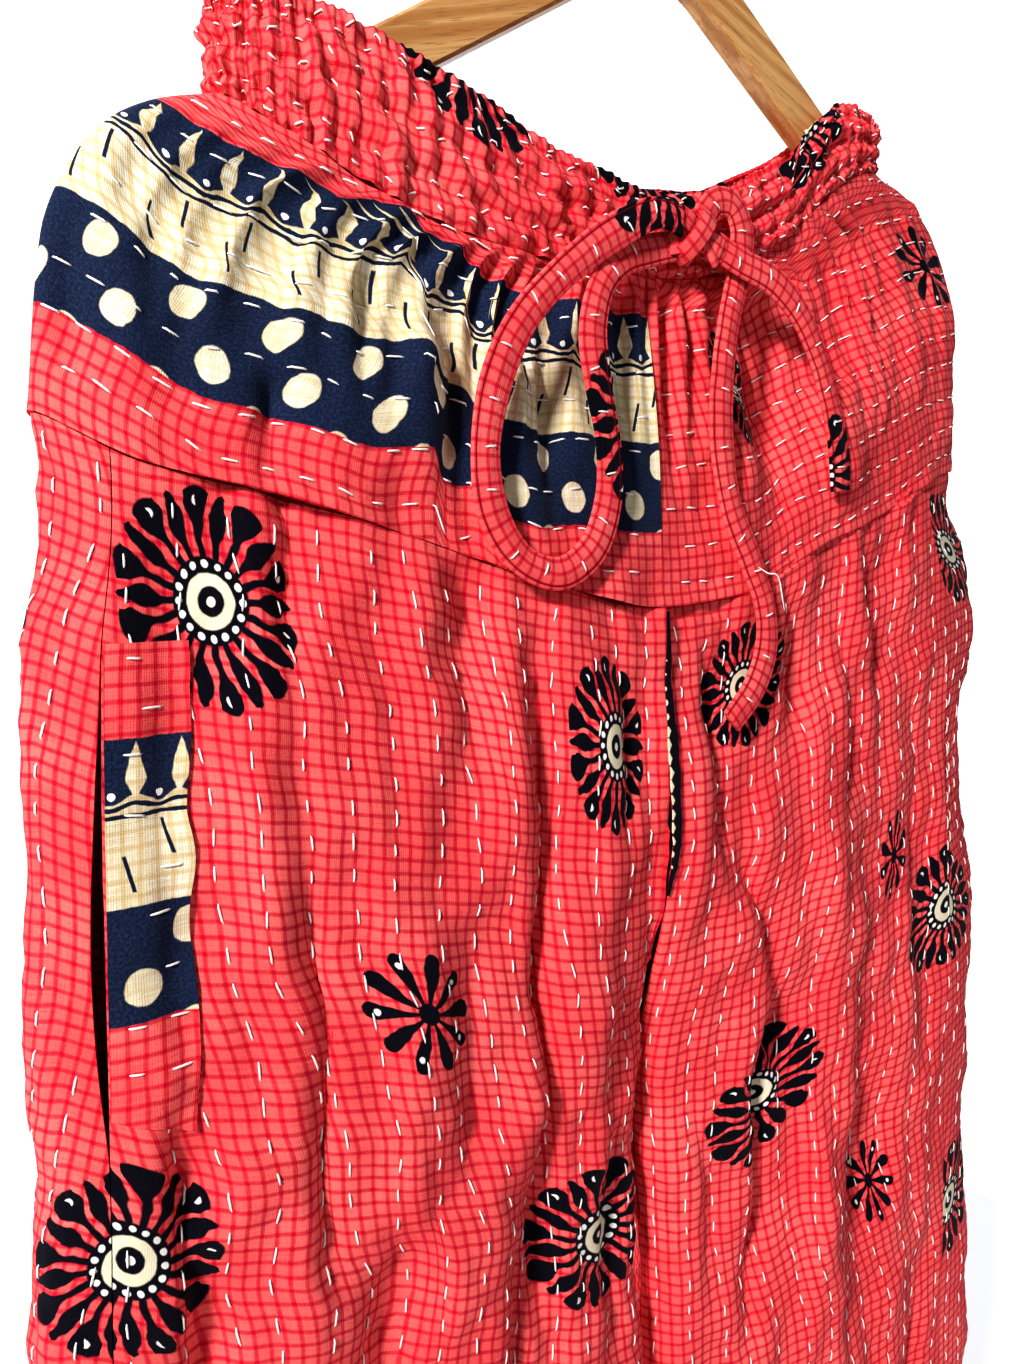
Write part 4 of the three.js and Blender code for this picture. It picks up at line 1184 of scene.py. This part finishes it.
# %% [markdown]
# The back panel's columns first go from the centre out to the side, and then round it to the front as
# far as the pocket. Its last columns are drawn aside a little where the pocket's mouth gapes.

# %% Front and back panels of both legs
panels = {}
for side in (-1, 1):
    name = name_of(side)
    seam = SIDE_SEAM_SHARE[name]
    share = shares(0, seam - 0.001, LEG_STEPS_ACROSS)
    z = leg_heights(side, share)
    grid = leg_point(side, -1, share[None], z)
    grid[..., 1] -= POCKET["lift"] * mouth(z) * smooth(share[None], seam - POCKET["lift_reach"], seam)
    amount = np.minimum(1, PUCKER_START * share)[::-side]
    panels["leg_front_" + name] = finish_panel(grid, side, -1, leg_cloth_down(grid, side), amount)
    share = np.concatenate((shares(0, 1, LEG_STEPS_ACROSS), shares(1, seam, WRAP_STEPS)[1:]))
    face = np.concatenate((np.ones(LEG_STEPS_ACROSS + 1), -np.ones(WRAP_STEPS)))
    z = leg_heights(side, share)
    drawn = POCKET["gape"] * mouth(z) / BESIDE_POCKET[name] * smooth(1 - share, 0, 1 - seam) * (face < 0)
    grid = leg_point(side, face[None], share[None] + drawn, z)
    amount = np.minimum(1, PUCKER_START * share)[::side]
    panels["leg_back_" + name] = finish_panel(grid, side, 1, leg_cloth_down(grid, side), amount)

for name, (grid, cloth) in panels.items():
    side = -1 if name.endswith("left") else 1
    face = -1 if "front" in name else 1
    draw_in(grid)
    if face < 0:
        under_cords(grid)
    keep_to_its_side(grid, side, face, LEG_CENTRE)
    wall = tucked(grid, cloth, LEG_TUCK, LEG_ALLOWANCE)
    make_panel(name, grid, cloth, wall, red_material)

# %% [markdown]
# ## Yokes
#
# Each half of the yoke is gathered into the waistband, so its upper edge runs in waves that die away
# further down, and its deeper pleats are given one by one. Its lower edge is a folded seam that stands
# a little proud of the legs and throws a fine shadow on them.

# %% Yoke panels
YOKE_GATHERS = {"count": 15, "height": 3.6, "fade": 1.4}
YOKE_STEPS_DOWN, YOKE_STEPS_ACROSS = 60, 168
YOKE_TUCK, YOKE_ALLOWANCE = 3.2, 3.0
YOKE_PUCKER = 0.7
SEAM_LIP = 0.7
BORDER_SHIFT = [{"x": x, "shift": shift} for x, shift in (
    (0, 6), (20, 4), (45, 1), (70, -6), (85, -7), (98, 1), (111, -2), (117, 8), (125, 6), (148, -1), (176, 0),
    (200, -1), (215, 3), (228, 7), (250, 8))]


def yoke_point(side, face, share, down):
    """Points of a yoke, by shares of its half width and of its height."""
    name, across = name_of(side), side * share
    z = lerp(waist_edge(across, face, "low") - SEAM_GAP, SEAM_HEIGHT(across), down)
    half = curve(YOKE_OUTLINE, "down", name)(down)
    depth = curve(YOKE_OUTLINE, "down", "depth")(down)
    fade = np.maximum(0, 1 - down * YOKE_GATHERS["fade"]) * np.minimum(1, 4 * (1 - share))
    drift = 0.25 * np.sin(9 * share + 2 * side + face) + 0.5 * down * np.sin(23 * share + face)
    wave = np.cos(TURN * (YOKE_GATHERS["count"] * share + 0.5 + drift))
    out = YOKE_GATHERS["height"] * fade * smooth(down, 0, 0.08) * wave
    out = out + yoke_fold_out(side, face, share, down)
    out = out + SEAM_LIP * smooth(down, 0.955, 0.985)
    y = face * (depth * profile(share) + out)
    return np.stack(np.broadcast_arrays(side * half * share, y, z), -1)


yokes = {}
for side in (-1, 1):
    for face, word in ((-1, "front"), (1, "back")):
        name = f"yoke_{word}_{name_of(side)}"
        share = np.sin(math.pi / 2 * np.arange(YOKE_STEPS_ACROSS + 1) / YOKE_STEPS_ACROSS)
        down = np.linspace(0, 1, YOKE_STEPS_DOWN + 1)
        grid = yoke_point(side, face, share[None], down[:, None])
        amount = (np.minimum(1, PUCKER_START * share) * smooth(1 - share, 0, 0.03))[::-side * face]
        fall = arc_length(grid, 0)
        above_seam = fall[-1] - fall
        bordered = name == "yoke_front_left"
        if bordered:
            above_seam = above_seam - curve(BORDER_SHIFT, "x", "shift")(np.abs(grid[..., 0]))
        grid, cloth = finish_panel(grid, side, face, -above_seam, YOKE_PUCKER * amount, rows_down=False)
        draw_in(grid)
        if face < 0:
            under_cords(grid)
        keep_to_its_side(grid, side, face, YOKE_CENTRE)
        yokes[name] = (grid, cloth)
        across = np.abs(grid[0, :, 0])
        wall = tucked(grid, cloth, YOKE_TUCK * np.minimum(1, 5 * (1 - across / across.max())), YOKE_ALLOWANCE)
        if bordered:
            make_panel(name, grid, cloth, wall, border_material)
        else:
            make_panel(name, grid, cloth, wall, red_material)

# %% [markdown]
# ## Waistband
#
# The band is puffed channels with the drawstring inside, drawn up to three quarters of its length.
# That packs it with fine upright gathers, sharp at the top edge and softer on the puffs. A half ring
# of points follows the waist's outline, and waves of several lengths move it in and out.

# %% Waistband halves
BAND_EDGE = YOKE_OUTLINE[0]
BAND = {"length": 400, "header_pitch": 3.6, "pleat_pitch": 10.5, "puff": 2.6}
BAND_ROWS = (0.15, 0.48, 0.79)
BAND_SHIFTS = ((3.0, 45), (1.6, 20))
BAND_STEPS_DOWN, BAND_STEPS_ROUND = 30, 700


def band_grid(face):
    """Half ring of the waistband, from left to right as seen from outside."""
    turn = np.linspace(-0.5, 0.5, BAND_STEPS_ROUND + 1)
    across = np.clip(np.sin(math.pi * turn * -face), -1, 1)
    low = np.linspace(0, 1, BAND_STEPS_DOWN + 1)[:, None]
    half = np.where(across < 0, BAND_EDGE["left"], BAND_EDGE["right"])
    top, bottom = waist_edge(across, face, "top"), waist_edge(across, face, "low")
    along = (turn + 0.5) * BAND["length"]
    shift = hills(along, low * 60, BAND_SHIFTS)
    pleat = 1 - 2 * np.abs(np.cos(math.pi * (along + shift) / BAND["pleat_pitch"])) ** 3
    fine = np.cos(TURN * (along + 0.5 * shift) / BAND["header_pitch"])
    at_row = sum(bump(low - row, 0.07) for row in BAND_ROWS)
    header = smooth(low, BAND_ROWS[0], 0.02)
    height = (0.25 + 0.4 * smooth(low, 0.1, 0.3)) * pleat + (0.4 * header + 0.06 + 0.25 * at_row) * fine
    puffs = np.where(low < BAND_ROWS[0], 0.25, 1.0) * (1 - np.minimum(1, at_row)) * smooth(low, 1.0, 0.85)
    puff = BAND["puff"] * puffs + 1.5 * unevenness(along, low * 50, 22)
    puff = puff + 1.3 * unevenness(along, low * 60, 11)
    edge = -0.9 * (1 - smooth(low, 0, 0.05)) - 0.9 * smooth(low, 0.96, 1)
    calm = np.minimum(1, (0.5 - np.abs(turn)) * 40)
    out = (puff + height) * calm + edge
    outward_x = np.sign(across) * np.abs(across) ** 12
    outward_y = face * np.sqrt(np.maximum(0, 1 - across**24))
    y = face * BAND_EDGE["depth"] * profile(across) + out * outward_y
    y = face * np.maximum(face * y, SEAM_GAP / 2)
    z = lerp(top, bottom, low) + (1 - low) * (0.15 * fine + 1.0 * unevenness(along, 0 * low, 30)) * calm
    return np.stack(np.broadcast_arrays(half * across + out * outward_x, y, z), -1)


bands = {}
for face, word in ((-1, "front"), (1, "back")):
    grid = band_grid(face)
    wide, high = arc_length(grid, 1), arc_length(grid, 0)
    even_wide, even_high = wide.mean(0)[None] + 0 * wide, high[-1] * (high / high[-1]).mean(1)[:, None]
    flat = np.stack((lerp(even_wide, wide, 0.2), lerp(even_high, high, 0.2)), -1)
    bands["waistband_" + word] = (grid, flat)
    make_panel("waistband_" + word, grid, flat, (grid, flat), red_material)

# %% [markdown]
# ## Pocket facing and seam strip
#
# Beside the left pocket's mouth lies a narrow facing in the border print, and a thin lens of the same
# border shows along the front seam. Both lie on the legs, so they take their points from the legs'
# finished grids and move them out. The facing comes first.

# %% Facing beside the pocket's mouth
PATCH_THICKNESS = 1.0
PATCH_LIFT = SEAM_GAP + 0.6 + PATCH_THICKNESS
FACING = {"top": -191, "low": -352, "inner": 0.805, "slant": 12}
FACING_STEPS, STRIP_STEPS = (56, 15), (70, 9)
FACING_BORDER_FOOT = 348
SEAM_STRIP = {"top": -189, "low": -322, "width": 6.4}


def sample(grid, row, column):
    """Values of a grid between its points."""
    r = np.clip(row, 0, grid.shape[0] - 1.001)
    c = np.clip(column, 0, grid.shape[1] - 1.001)
    i, j = r.astype(int), c.astype(int)
    s, t = (r - i)[..., None], (c - j)[..., None]
    upper = grid[i, j] * (1 - t) + grid[i, j + 1] * t
    lower = grid[i + 1, j] * (1 - t) + grid[i + 1, j + 1] * t
    return upper * (1 - s) + lower * s


def on_leg(grid, x, z):
    """Points of a front leg's grid at a distance x from the middle and a height z."""
    shape = np.broadcast(x, z).shape
    x, z = np.broadcast_to(x, shape).ravel(), np.broadcast_to(z, shape).ravel()
    row, column = np.full(x.shape, 60.0), np.full(x.shape, 50.0)
    for _ in range(6):
        for k in range(len(x)):
            line = sample(grid, np.arange(grid.shape[0], dtype=float), np.full(grid.shape[0], column[k]))
            row[k] = np.interp(-z[k], -line[:, 2], np.arange(grid.shape[0]))
            line = sample(grid, np.full(grid.shape[1], row[k]), np.arange(grid.shape[1], dtype=float))
            column[k] = np.interp(x[k], line[:, 0], np.arange(grid.shape[1]))
    normal = sample(outward(grid), row, column)
    return sample(grid, row, column).reshape(*shape, 3), normal.reshape(*shape, 3)


left_grid, right_grid = panels["leg_front_left"][0], panels["leg_front_right"][0]
down, part = (np.linspace(0, 1, steps) for steps in FACING_STEPS)
down, part = down[:, None], part[None]
share = lerp(SIDE_SEAM_SHARE["left"] - 0.004, FACING["inner"], part)
z = lerp(FACING["top"], FACING["low"] - FACING["slant"] * part, down)
half = curve(LEG_OUTLINE, "z", "left")(z)
wavy = 1.1 * np.sin(z / 9 + np.sin(z / 21)) * smooth(part, 0.6, 1)
points, normals = on_leg(left_grid, -half * share + wavy, z)
facing_grid = points + normals * (PATCH_LIFT - 0.35 + 0.25 * np.sin(down * 40 + part * 5))[..., None]
facing_wide = half[0, 0] * (share[0, 0] - share) + 6
facing_cloth = np.stack(np.broadcast_arrays(facing_wide, -z - FACING_BORDER_FOOT), -1)
facing = wall_object("pocket_facing_cloth", facing_grid, facing_cloth, PATCH_THICKNESS, border_material)
stand_in(facing, "pocket_facing")

# %% [markdown]
# The strip lies across the front seam, so it takes its points from both legs. It stands in front of
# the leg that is further forward at each height, or a ridge there would come through it.

# %% Strip along the front seam
down = np.linspace(0, 1, STRIP_STEPS[0])[:, None]
z = lerp(SEAM_STRIP["top"], SEAM_STRIP["low"], down)
uneven = 1 + 0.12 * np.sin(z / 7) + 0.1 * np.sin(z / 3.1)
reach = 0.5 + 0.36 * SEAM_STRIP["width"] * np.sin(math.pi * down**1.3) * uneven
x = reach * np.linspace(-1, 1, STRIP_STEPS[1])[None]
on_left, on_right = on_leg(left_grid, np.minimum(x, -0.2), z)[0], on_leg(right_grid, np.maximum(x, 0.2), z)[0]
strip_grid = np.where((x > 0)[..., None], on_right, on_left)
strip_grid[..., 0] = x
strip_grid[..., 1] = strip_grid[..., 1].min(1, keepdims=True) - PATCH_LIFT
strip_cloth = np.stack(np.broadcast_arrays(x, -z), -1)
strip = wall_object("front_seam_strip_cloth", strip_grid, strip_cloth, PATCH_THICKNESS, strip_material)
stand_in(strip, "front_seam_strip")

# %% [markdown]
# ## Running stitch
#
# White thread goes in and out of the cloth all over it, so each stitch is a short raised thread that
# dips into the cloth at both ends. A stitch is a bent tube with only a few faces, because there are
# thousands. The rows are the ones that made the valleys, so the thread lies in them.

# %% Stitches
STITCH = {"length": 7.2, "wide": 0.46, "high": 0.36, "skew": 0.07}
BAND_STITCH = {"pitch": 13.0, "length": 4.0, "skew": 0.45, "bend": 0.2}
BAND_STITCH_ROWS = (0.08, 0.15, 0.32, 0.48, 0.79, 0.93)
CORD_STITCH = {"first": 14, "pitch": 21, "last": 8, "length": 5.5}
THREAD_SIDES = 5
STITCH_STEPS = np.array([0, 0.22, 0.78, 1.0])
STITCH_RISE = np.array([-0.3, 0.45, 0.45, -0.3])
CORD_STITCH_RISE = np.array([-0.25, 0.3, 0.3, -0.25])
STITCH_BOW = np.array([0, 1, 1, 0])
LOOSE_THREAD = [
    [50, -41.5, -170], [54, -44, -173], [58, -45, -173.5], [61, -44.5, -177], [63, -44, -183],
    [66, -43, -191],
]
THREAD = Finish("white_thread", 0.7, Sheen_Weight=0.2, Specular_IOR_Level=0.3)
THREAD.shader.inputs["Base Color"].default_value = linear(THREAD_WHITE)


def stitch_path(grid, normals, across, along, row):
    """Points, normals and distances of one row of stitches, on a grid whose first axis it follows."""
    off = across - (row + 0.5) * ROW_SPACING - row_wobble(row, along)
    if off[:, -1].mean() < off[:, 0].mean():
        off = -off
    inside = (off[:, 0] < -2.5) & (off[:, -1] > 2.5)
    lines = np.flatnonzero(inside)
    if len(lines) < 6:
        return None
    column = np.array([np.interp(0, off[i], np.arange(off.shape[1])) for i in lines])
    place = sample(grid, lines.astype(float), column), sample(normals, lines.astype(float), column)
    distance = sample(along[..., None], lines.astype(float), column)[:, 0]
    order = np.argsort(distance)
    return place[0][order], place[1][order], distance[order]


# %% [markdown]
# All the stitches of one panel are one object, built from one small tube that is repeated. Each row
# starts at a place of its own, and each stitch is a little longer, shorter or more slanted than the
# next, as hand sewing is.

# %% Thread of the stitches
def thread_mesh(name, middles, normals, ways):
    """One object from many stitches. Each has a line of middle points, normals and directions."""
    count, steps = middles.shape[:2]
    side = np.cross(normals, ways)
    angle = (np.arange(THREAD_SIDES) / THREAD_SIDES * TURN)[:, None]
    taper = np.interp(np.linspace(0, 1, steps), (0, 0.25, 0.75, 1), (0.5, 1, 1, 0.5))[:, None, None]
    rings = middles[:, :, None] + side[:, :, None] * np.cos(angle) * STITCH["wide"] * taper
    rings = rings + normals[:, :, None] * np.sin(angle) * STITCH["high"] * taper
    one = np.arange(steps * THREAD_SIDES).reshape(steps, THREAD_SIDES)
    turn = np.roll(one, -1, axis=1)
    sides = np.stack((one[:-1], one[1:], turn[1:], turn[:-1]), -1).reshape(-1, 4)
    first = (np.arange(count) * steps * THREAD_SIDES)[:, None, None]
    faces = (first + sides[None]).reshape(-1, 4).tolist()
    faces += (first[:, 0] + one[0][None]).tolist()
    faces += (first[:, 0] + one[-1][::-1][None]).tolist()
    item = make_object(name, rings.reshape(-1, 3), faces, THREAD.material)
    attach(item, "root")
    return item


def along_row(path, pitch, length, skew, bend=0.0):
    """Middle points and normals of the stitches of one row."""
    points, up, distance = path
    starts = np.arange(distance[0] + 3 + rng.uniform(0, pitch), distance[-1] - length - 2, pitch)
    starts = starts + rng.uniform(-0.1, 0.1, len(starts)) * pitch
    lengths = length * rng.uniform(0.7, 1.15, len(starts))
    at = starts[:, None] + lengths[:, None] * STITCH_STEPS
    middle = np.stack([np.interp(at, distance, points[:, k]) for k in range(3)], -1)
    normal = np.stack([np.interp(at, distance, up[:, k]) for k in range(3)], -1)
    normal = unit(normal)
    aside = np.cross(normal, middle[:, -1:] - middle[:, :1])
    slant = rng.normal(0, skew, len(starts))[:, None, None] * (STITCH_STEPS - 0.5)[:, None]
    bow = rng.normal(0, bend, len(starts))[:, None, None] * STITCH_BOW[:, None]
    return middle + aside * (slant + bow) + normal * STITCH_RISE[:, None], normal


def stitch_object(name, rows):
    """One object from rows of stitches."""
    middles, ups = (np.concatenate(part) for part in zip(*rows))
    item = thread_mesh(name, middles, ups, unit(np.gradient(middles, axis=1)))
    print(name, len(middles), "stitches")
    return item


# %% [markdown]
# The legs have rows that run down them, the yokes and the facing have rows across, the waistband has
# short bunched stitches along its channels, and the drawstring has slanted dashes.

# %% Stitches of each piece
def panel_stitches(name, grid, cloth, rows_down):
    """All the running stitches of a panel."""
    normals = outward(grid)
    across, along = (cloth[..., 0], cloth[..., 1]) if rows_down else (cloth[..., 1], cloth[..., 0])
    if not rows_down:
        grid, normals = grid.swapaxes(0, 1), normals.swapaxes(0, 1)
        across, along = across.T, along.T
    numbers = range(math.floor(across.min() / ROW_SPACING) - 1, math.ceil(across.max() / ROW_SPACING) + 1)
    paths = [stitch_path(grid, normals, across, along, row) for row in numbers]
    paths = [path for path in paths if path is not None]
    rows = [along_row(path, STITCH_PITCH, STITCH["length"], STITCH["skew"]) for path in paths]
    return stitch_object(name + "_stitches", rows)


def band_stitches(name, grid):
    """Short bunched stitches along the waistband's channels."""
    normals, rows = outward(grid), []
    for share in BAND_STITCH_ROWS:
        line = np.full(grid.shape[1], share * BAND_STEPS_DOWN)
        column = np.arange(grid.shape[1], dtype=float)
        points = sample(grid, line, column)
        path = points, sample(normals, line, column), line_distance(points)
        rows.append(along_row(path, **BAND_STITCH))
    return stitch_object(name + "_stitches", rows)


def cord_stitches(name):
    """Slanted dashes across the drawstring."""
    line, across, out, along = cord_lines[name]
    middles, ups = [], []
    for at in np.arange(CORD_STITCH["first"], along[-1] - CORD_STITCH["last"], CORD_STITCH["pitch"]):
        k = int(np.argmin(np.abs(along - at - rng.uniform(-4, 4))))
        start, slope = rng.uniform(-4.5, -1), rng.uniform(-0.35, 0.35)
        reach = start + CORD_STITCH["length"] * STITCH_STEPS
        tangent = np.cross(out[k], across[k])
        lift = CORD_THICKNESS / 2 * (1 - np.abs(reach * 2 / CORD_WIDTH) ** 2.6) ** 0.4 + CORD_STITCH_RISE
        middles.append(line[k] + across[k] * reach[:, None] + tangent * (slope * (reach - start))[:, None]
                       + out[k] * lift[:, None])
        ups.append(np.tile(out[k], (len(STITCH_STEPS), 1)))
    return np.array(middles), np.array(ups)


stitched = {}
for name, (grid, cloth) in panels.items():
    stitched[name] = panel_stitches(name, grid, cloth, True)
for name, (grid, cloth) in yokes.items():
    stitched[name] = panel_stitches(name, grid, cloth, False)
for name, (grid, cloth) in bands.items():
    stitched[name] = band_stitches(name, grid)
stitched["pocket_facing"] = panel_stitches("pocket_facing", facing_grid, facing_cloth, False)
for node, item in cords.items():
    stitched[node] = stitch_object(node + "_stitches", [cord_stitches(node + "_cloth")])

# %% [markdown]
# One thread end has come loose on the long tail, near the yoke's seam. It is the same kind of tube,
# along a short route in the air.

# %% Loose thread
loose = smooth_line(LOOSE_THREAD, 1.0)[0][None]
way = unit(np.gradient(loose, axis=1))
thread_mesh("drawstring_loose_thread", loose, unit(np.cross(way, (0, 0, 1.0))), way)
print("loose thread:", loose.shape[1], "points")

# %% [markdown]
# ## Hanger
#
# The hanger is one flat piece of pale wood under satin varnish, with a bent steel hook. Both keep their
# plain shapes, which are right, and get finishes. The grain runs along the arms, so its noise is
# stretched along a line that follows their slope.

# %% Wood and steel
ARM_SLOPE = 0.36
WOOD_PALE, WOOD_WARM, WOOD_PORE = (222, 178, 120), (188, 134, 76), (136, 86, 44)
STEEL_DARK, STEEL_BRIGHT = (176, 178, 182), (208, 210, 214)


def object_place(finish):
    """The three coordinates of the object itself, in millimetres."""
    node = finish.tree.nodes.new("ShaderNodeTexCoord")
    split = finish.tree.nodes.new("ShaderNodeSeparateXYZ")
    finish.tree.links.new(node.outputs["Object"], split.inputs[0])
    return [Field(finish.tree, output) * (1 / MM) for output in split.outputs]


finish = Finish("hanger_wood", 0.36, Coat_Weight=0.35, Coat_Roughness=0.22)
x, y, z = object_place(finish)
up_arm = z + x.math("ABSOLUTE") * ARM_SLOPE
rings = finish.noise(x / 130, y / 5, up_arm / 5, 3.0)
pores = finish.noise(x / 14, y / 0.7, up_arm / 0.7, 1.0)
wood_colour = finish.mix(rings.soft(0.35, 0.62), WOOD_PALE, WOOD_WARM)
wood_colour = finish.mix(pores.soft(0.56, 0.72) * 0.5, wood_colour, WOOD_PORE)
wood = finish.done(wood_colour, pores * 0.05 + rings * 0.03)
finish = Finish("hook_steel", 0.26, Metallic=1.0)
x, y, z = object_place(finish)
scratches = finish.noise(x / 0.5, y / 0.5, z / 9)
steel = finish.done(finish.mix(scratches, STEEL_DARK, STEEL_BRIGHT), scratches * 0.01)
for node, material in (("hanger_arms", wood), ("hanger_hook", steel)):
    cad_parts[node].data.materials.clear()
    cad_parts[node].data.materials.append(material)
    print(node, "has", material.name)

# %% [markdown]
# ## Sheets of cloth
#
# Each panel prints the size it was cut to: its longest row and its longest column, with all the folds
# and gathers laid out. The seam strip shows only a lens under 7 mm wide, so its cut width is a guess,
# no narrower than 12 mm, that counts an allowance sewn under it. A sheet is declared no narrower than
# 10 mm, so its cut width is a guess that counts an allowance sewn under it.

# %% Flat sizes
NARROWEST_CUT = 12
patches = {"pocket_facing": (facing_grid, facing_cloth), "front_seam_strip": (strip_grid, strip_cloth)}
for name, (grid, cloth) in (panels | yokes | bands | patches).items():
    wide, high = max(arc_length(grid, 1)[:, -1].max(), NARROWEST_CUT), arc_length(grid, 0)[-1].max()
    with_stitches = [stitched[name]] if name in stitched else []
    bpy.data.objects[name + "_cloth"]
    print(name, "cut", round(wide), "by", round(high), "mm")

# %% [markdown]
# ## Floor and light
#
# A pale floor well below the hem and a white studio all round keep attention on the cloth. The camera
# sees the studio at full strength, but the cloth gets only a little of its light, and more of it from
# behind, or the folds would be washed out.

# %% Floor
FLOOR_HEIGHT = cad_box[0].z - 0.06
FLOOR_SIZE = 1.7
FLOOR_WHITE, FLOOR_WHITER = (248, 249, 250), (252, 252, 253)
bpy.ops.object.select_all(action="DESELECT")
bpy.ops.mesh.primitive_plane_add(size=FLOOR_SIZE, location=(0, 0, FLOOR_HEIGHT))
floor = bpy.context.object
floor.name = "floor"
finish = Finish("floor_paint", 0.8)
x, y, z = object_place(finish)
floor_colour = finish.mix(finish.noise(x / 300, y / 300), FLOOR_WHITE, FLOOR_WHITER)
floor.data.materials.append(finish.done(floor_colour, finish.noise(x / 6, y / 6) * 0.1))
print("floor at", round(FLOOR_HEIGHT, 3), "m")

# %% Studio
WALL_LIGHT, ROOM_LIGHT = 0.65, 0.07
SKY = (0.96, 0.98, 1.0, 1)
studio = bpy.data.worlds.new("studio")
studio.use_nodes = True
tree = studio.node_tree
tree.nodes["Background"].inputs["Color"].default_value = SKY
toward = tree.nodes.new("ShaderNodeTexCoord")
split = tree.nodes.new("ShaderNodeSeparateXYZ")
tree.links.new(toward.outputs["Generated"], split.inputs[0])
behind = Field(tree, split.outputs[1]).soft(-0.1, 0.35) * (WALL_LIGHT - ROOM_LIGHT) + ROOM_LIGHT
seen = Field(tree, tree.nodes.new("ShaderNodeLightPath").outputs["Is Camera Ray"])
strength = behind + seen * (1.0 - behind)
tree.links.new(strength.socket, tree.nodes["Background"].inputs["Strength"])
bpy.context.scene.world = studio
print("studio:", len(tree.nodes), "nodes")

# %% [markdown]
# Three lamps light the scene, and the camera doesn't see them. A small key lamp at the front left
# rakes across the puckers and gives the folds clear shadows. A weak fill at the front right opens the
# shadows a little, and a large lamp behind keeps the floor white. The High Contrast look deepens the
# folds as the photograph does.

# %% Lamps
LAMPS = (
    ("key", (-1.68, -0.9, 0.5), (0, 0, -0.45), 0.3, 47, (1.0, 0.98, 0.97)),
    ("fill", (0.9, -1.8, 0.1), (0, 0, -0.5), 1.2, 5, (0.95, 0.97, 1.0)),
    ("wall", (0.6, 2.0, 1.2), (0.3, 0.9, -1.2), 2.0, 45, (0.95, 0.97, 1.0)),
)


def area_light(name, place, target, size, power, colour):
    """A square lamp at a place, turned to its target. Its power is in watts."""
    lamp = bpy.data.lights.new(name, "AREA")
    lamp.size, lamp.energy, lamp.color = size, power, colour
    item = bpy.data.objects.new(name, lamp)
    item.location = place
    item.visible_camera = False
    item.rotation_euler = (Vector(target) - Vector(place)).to_track_quat("-Z", "Y").to_euler()
    bpy.context.scene.collection.objects.link(item)


bpy.context.scene.view_settings.view_transform = "Standard"
bpy.context.scene.view_settings.look = "High Contrast"
for row in LAMPS:
    area_light(*row)
print(len(LAMPS), "lamps")
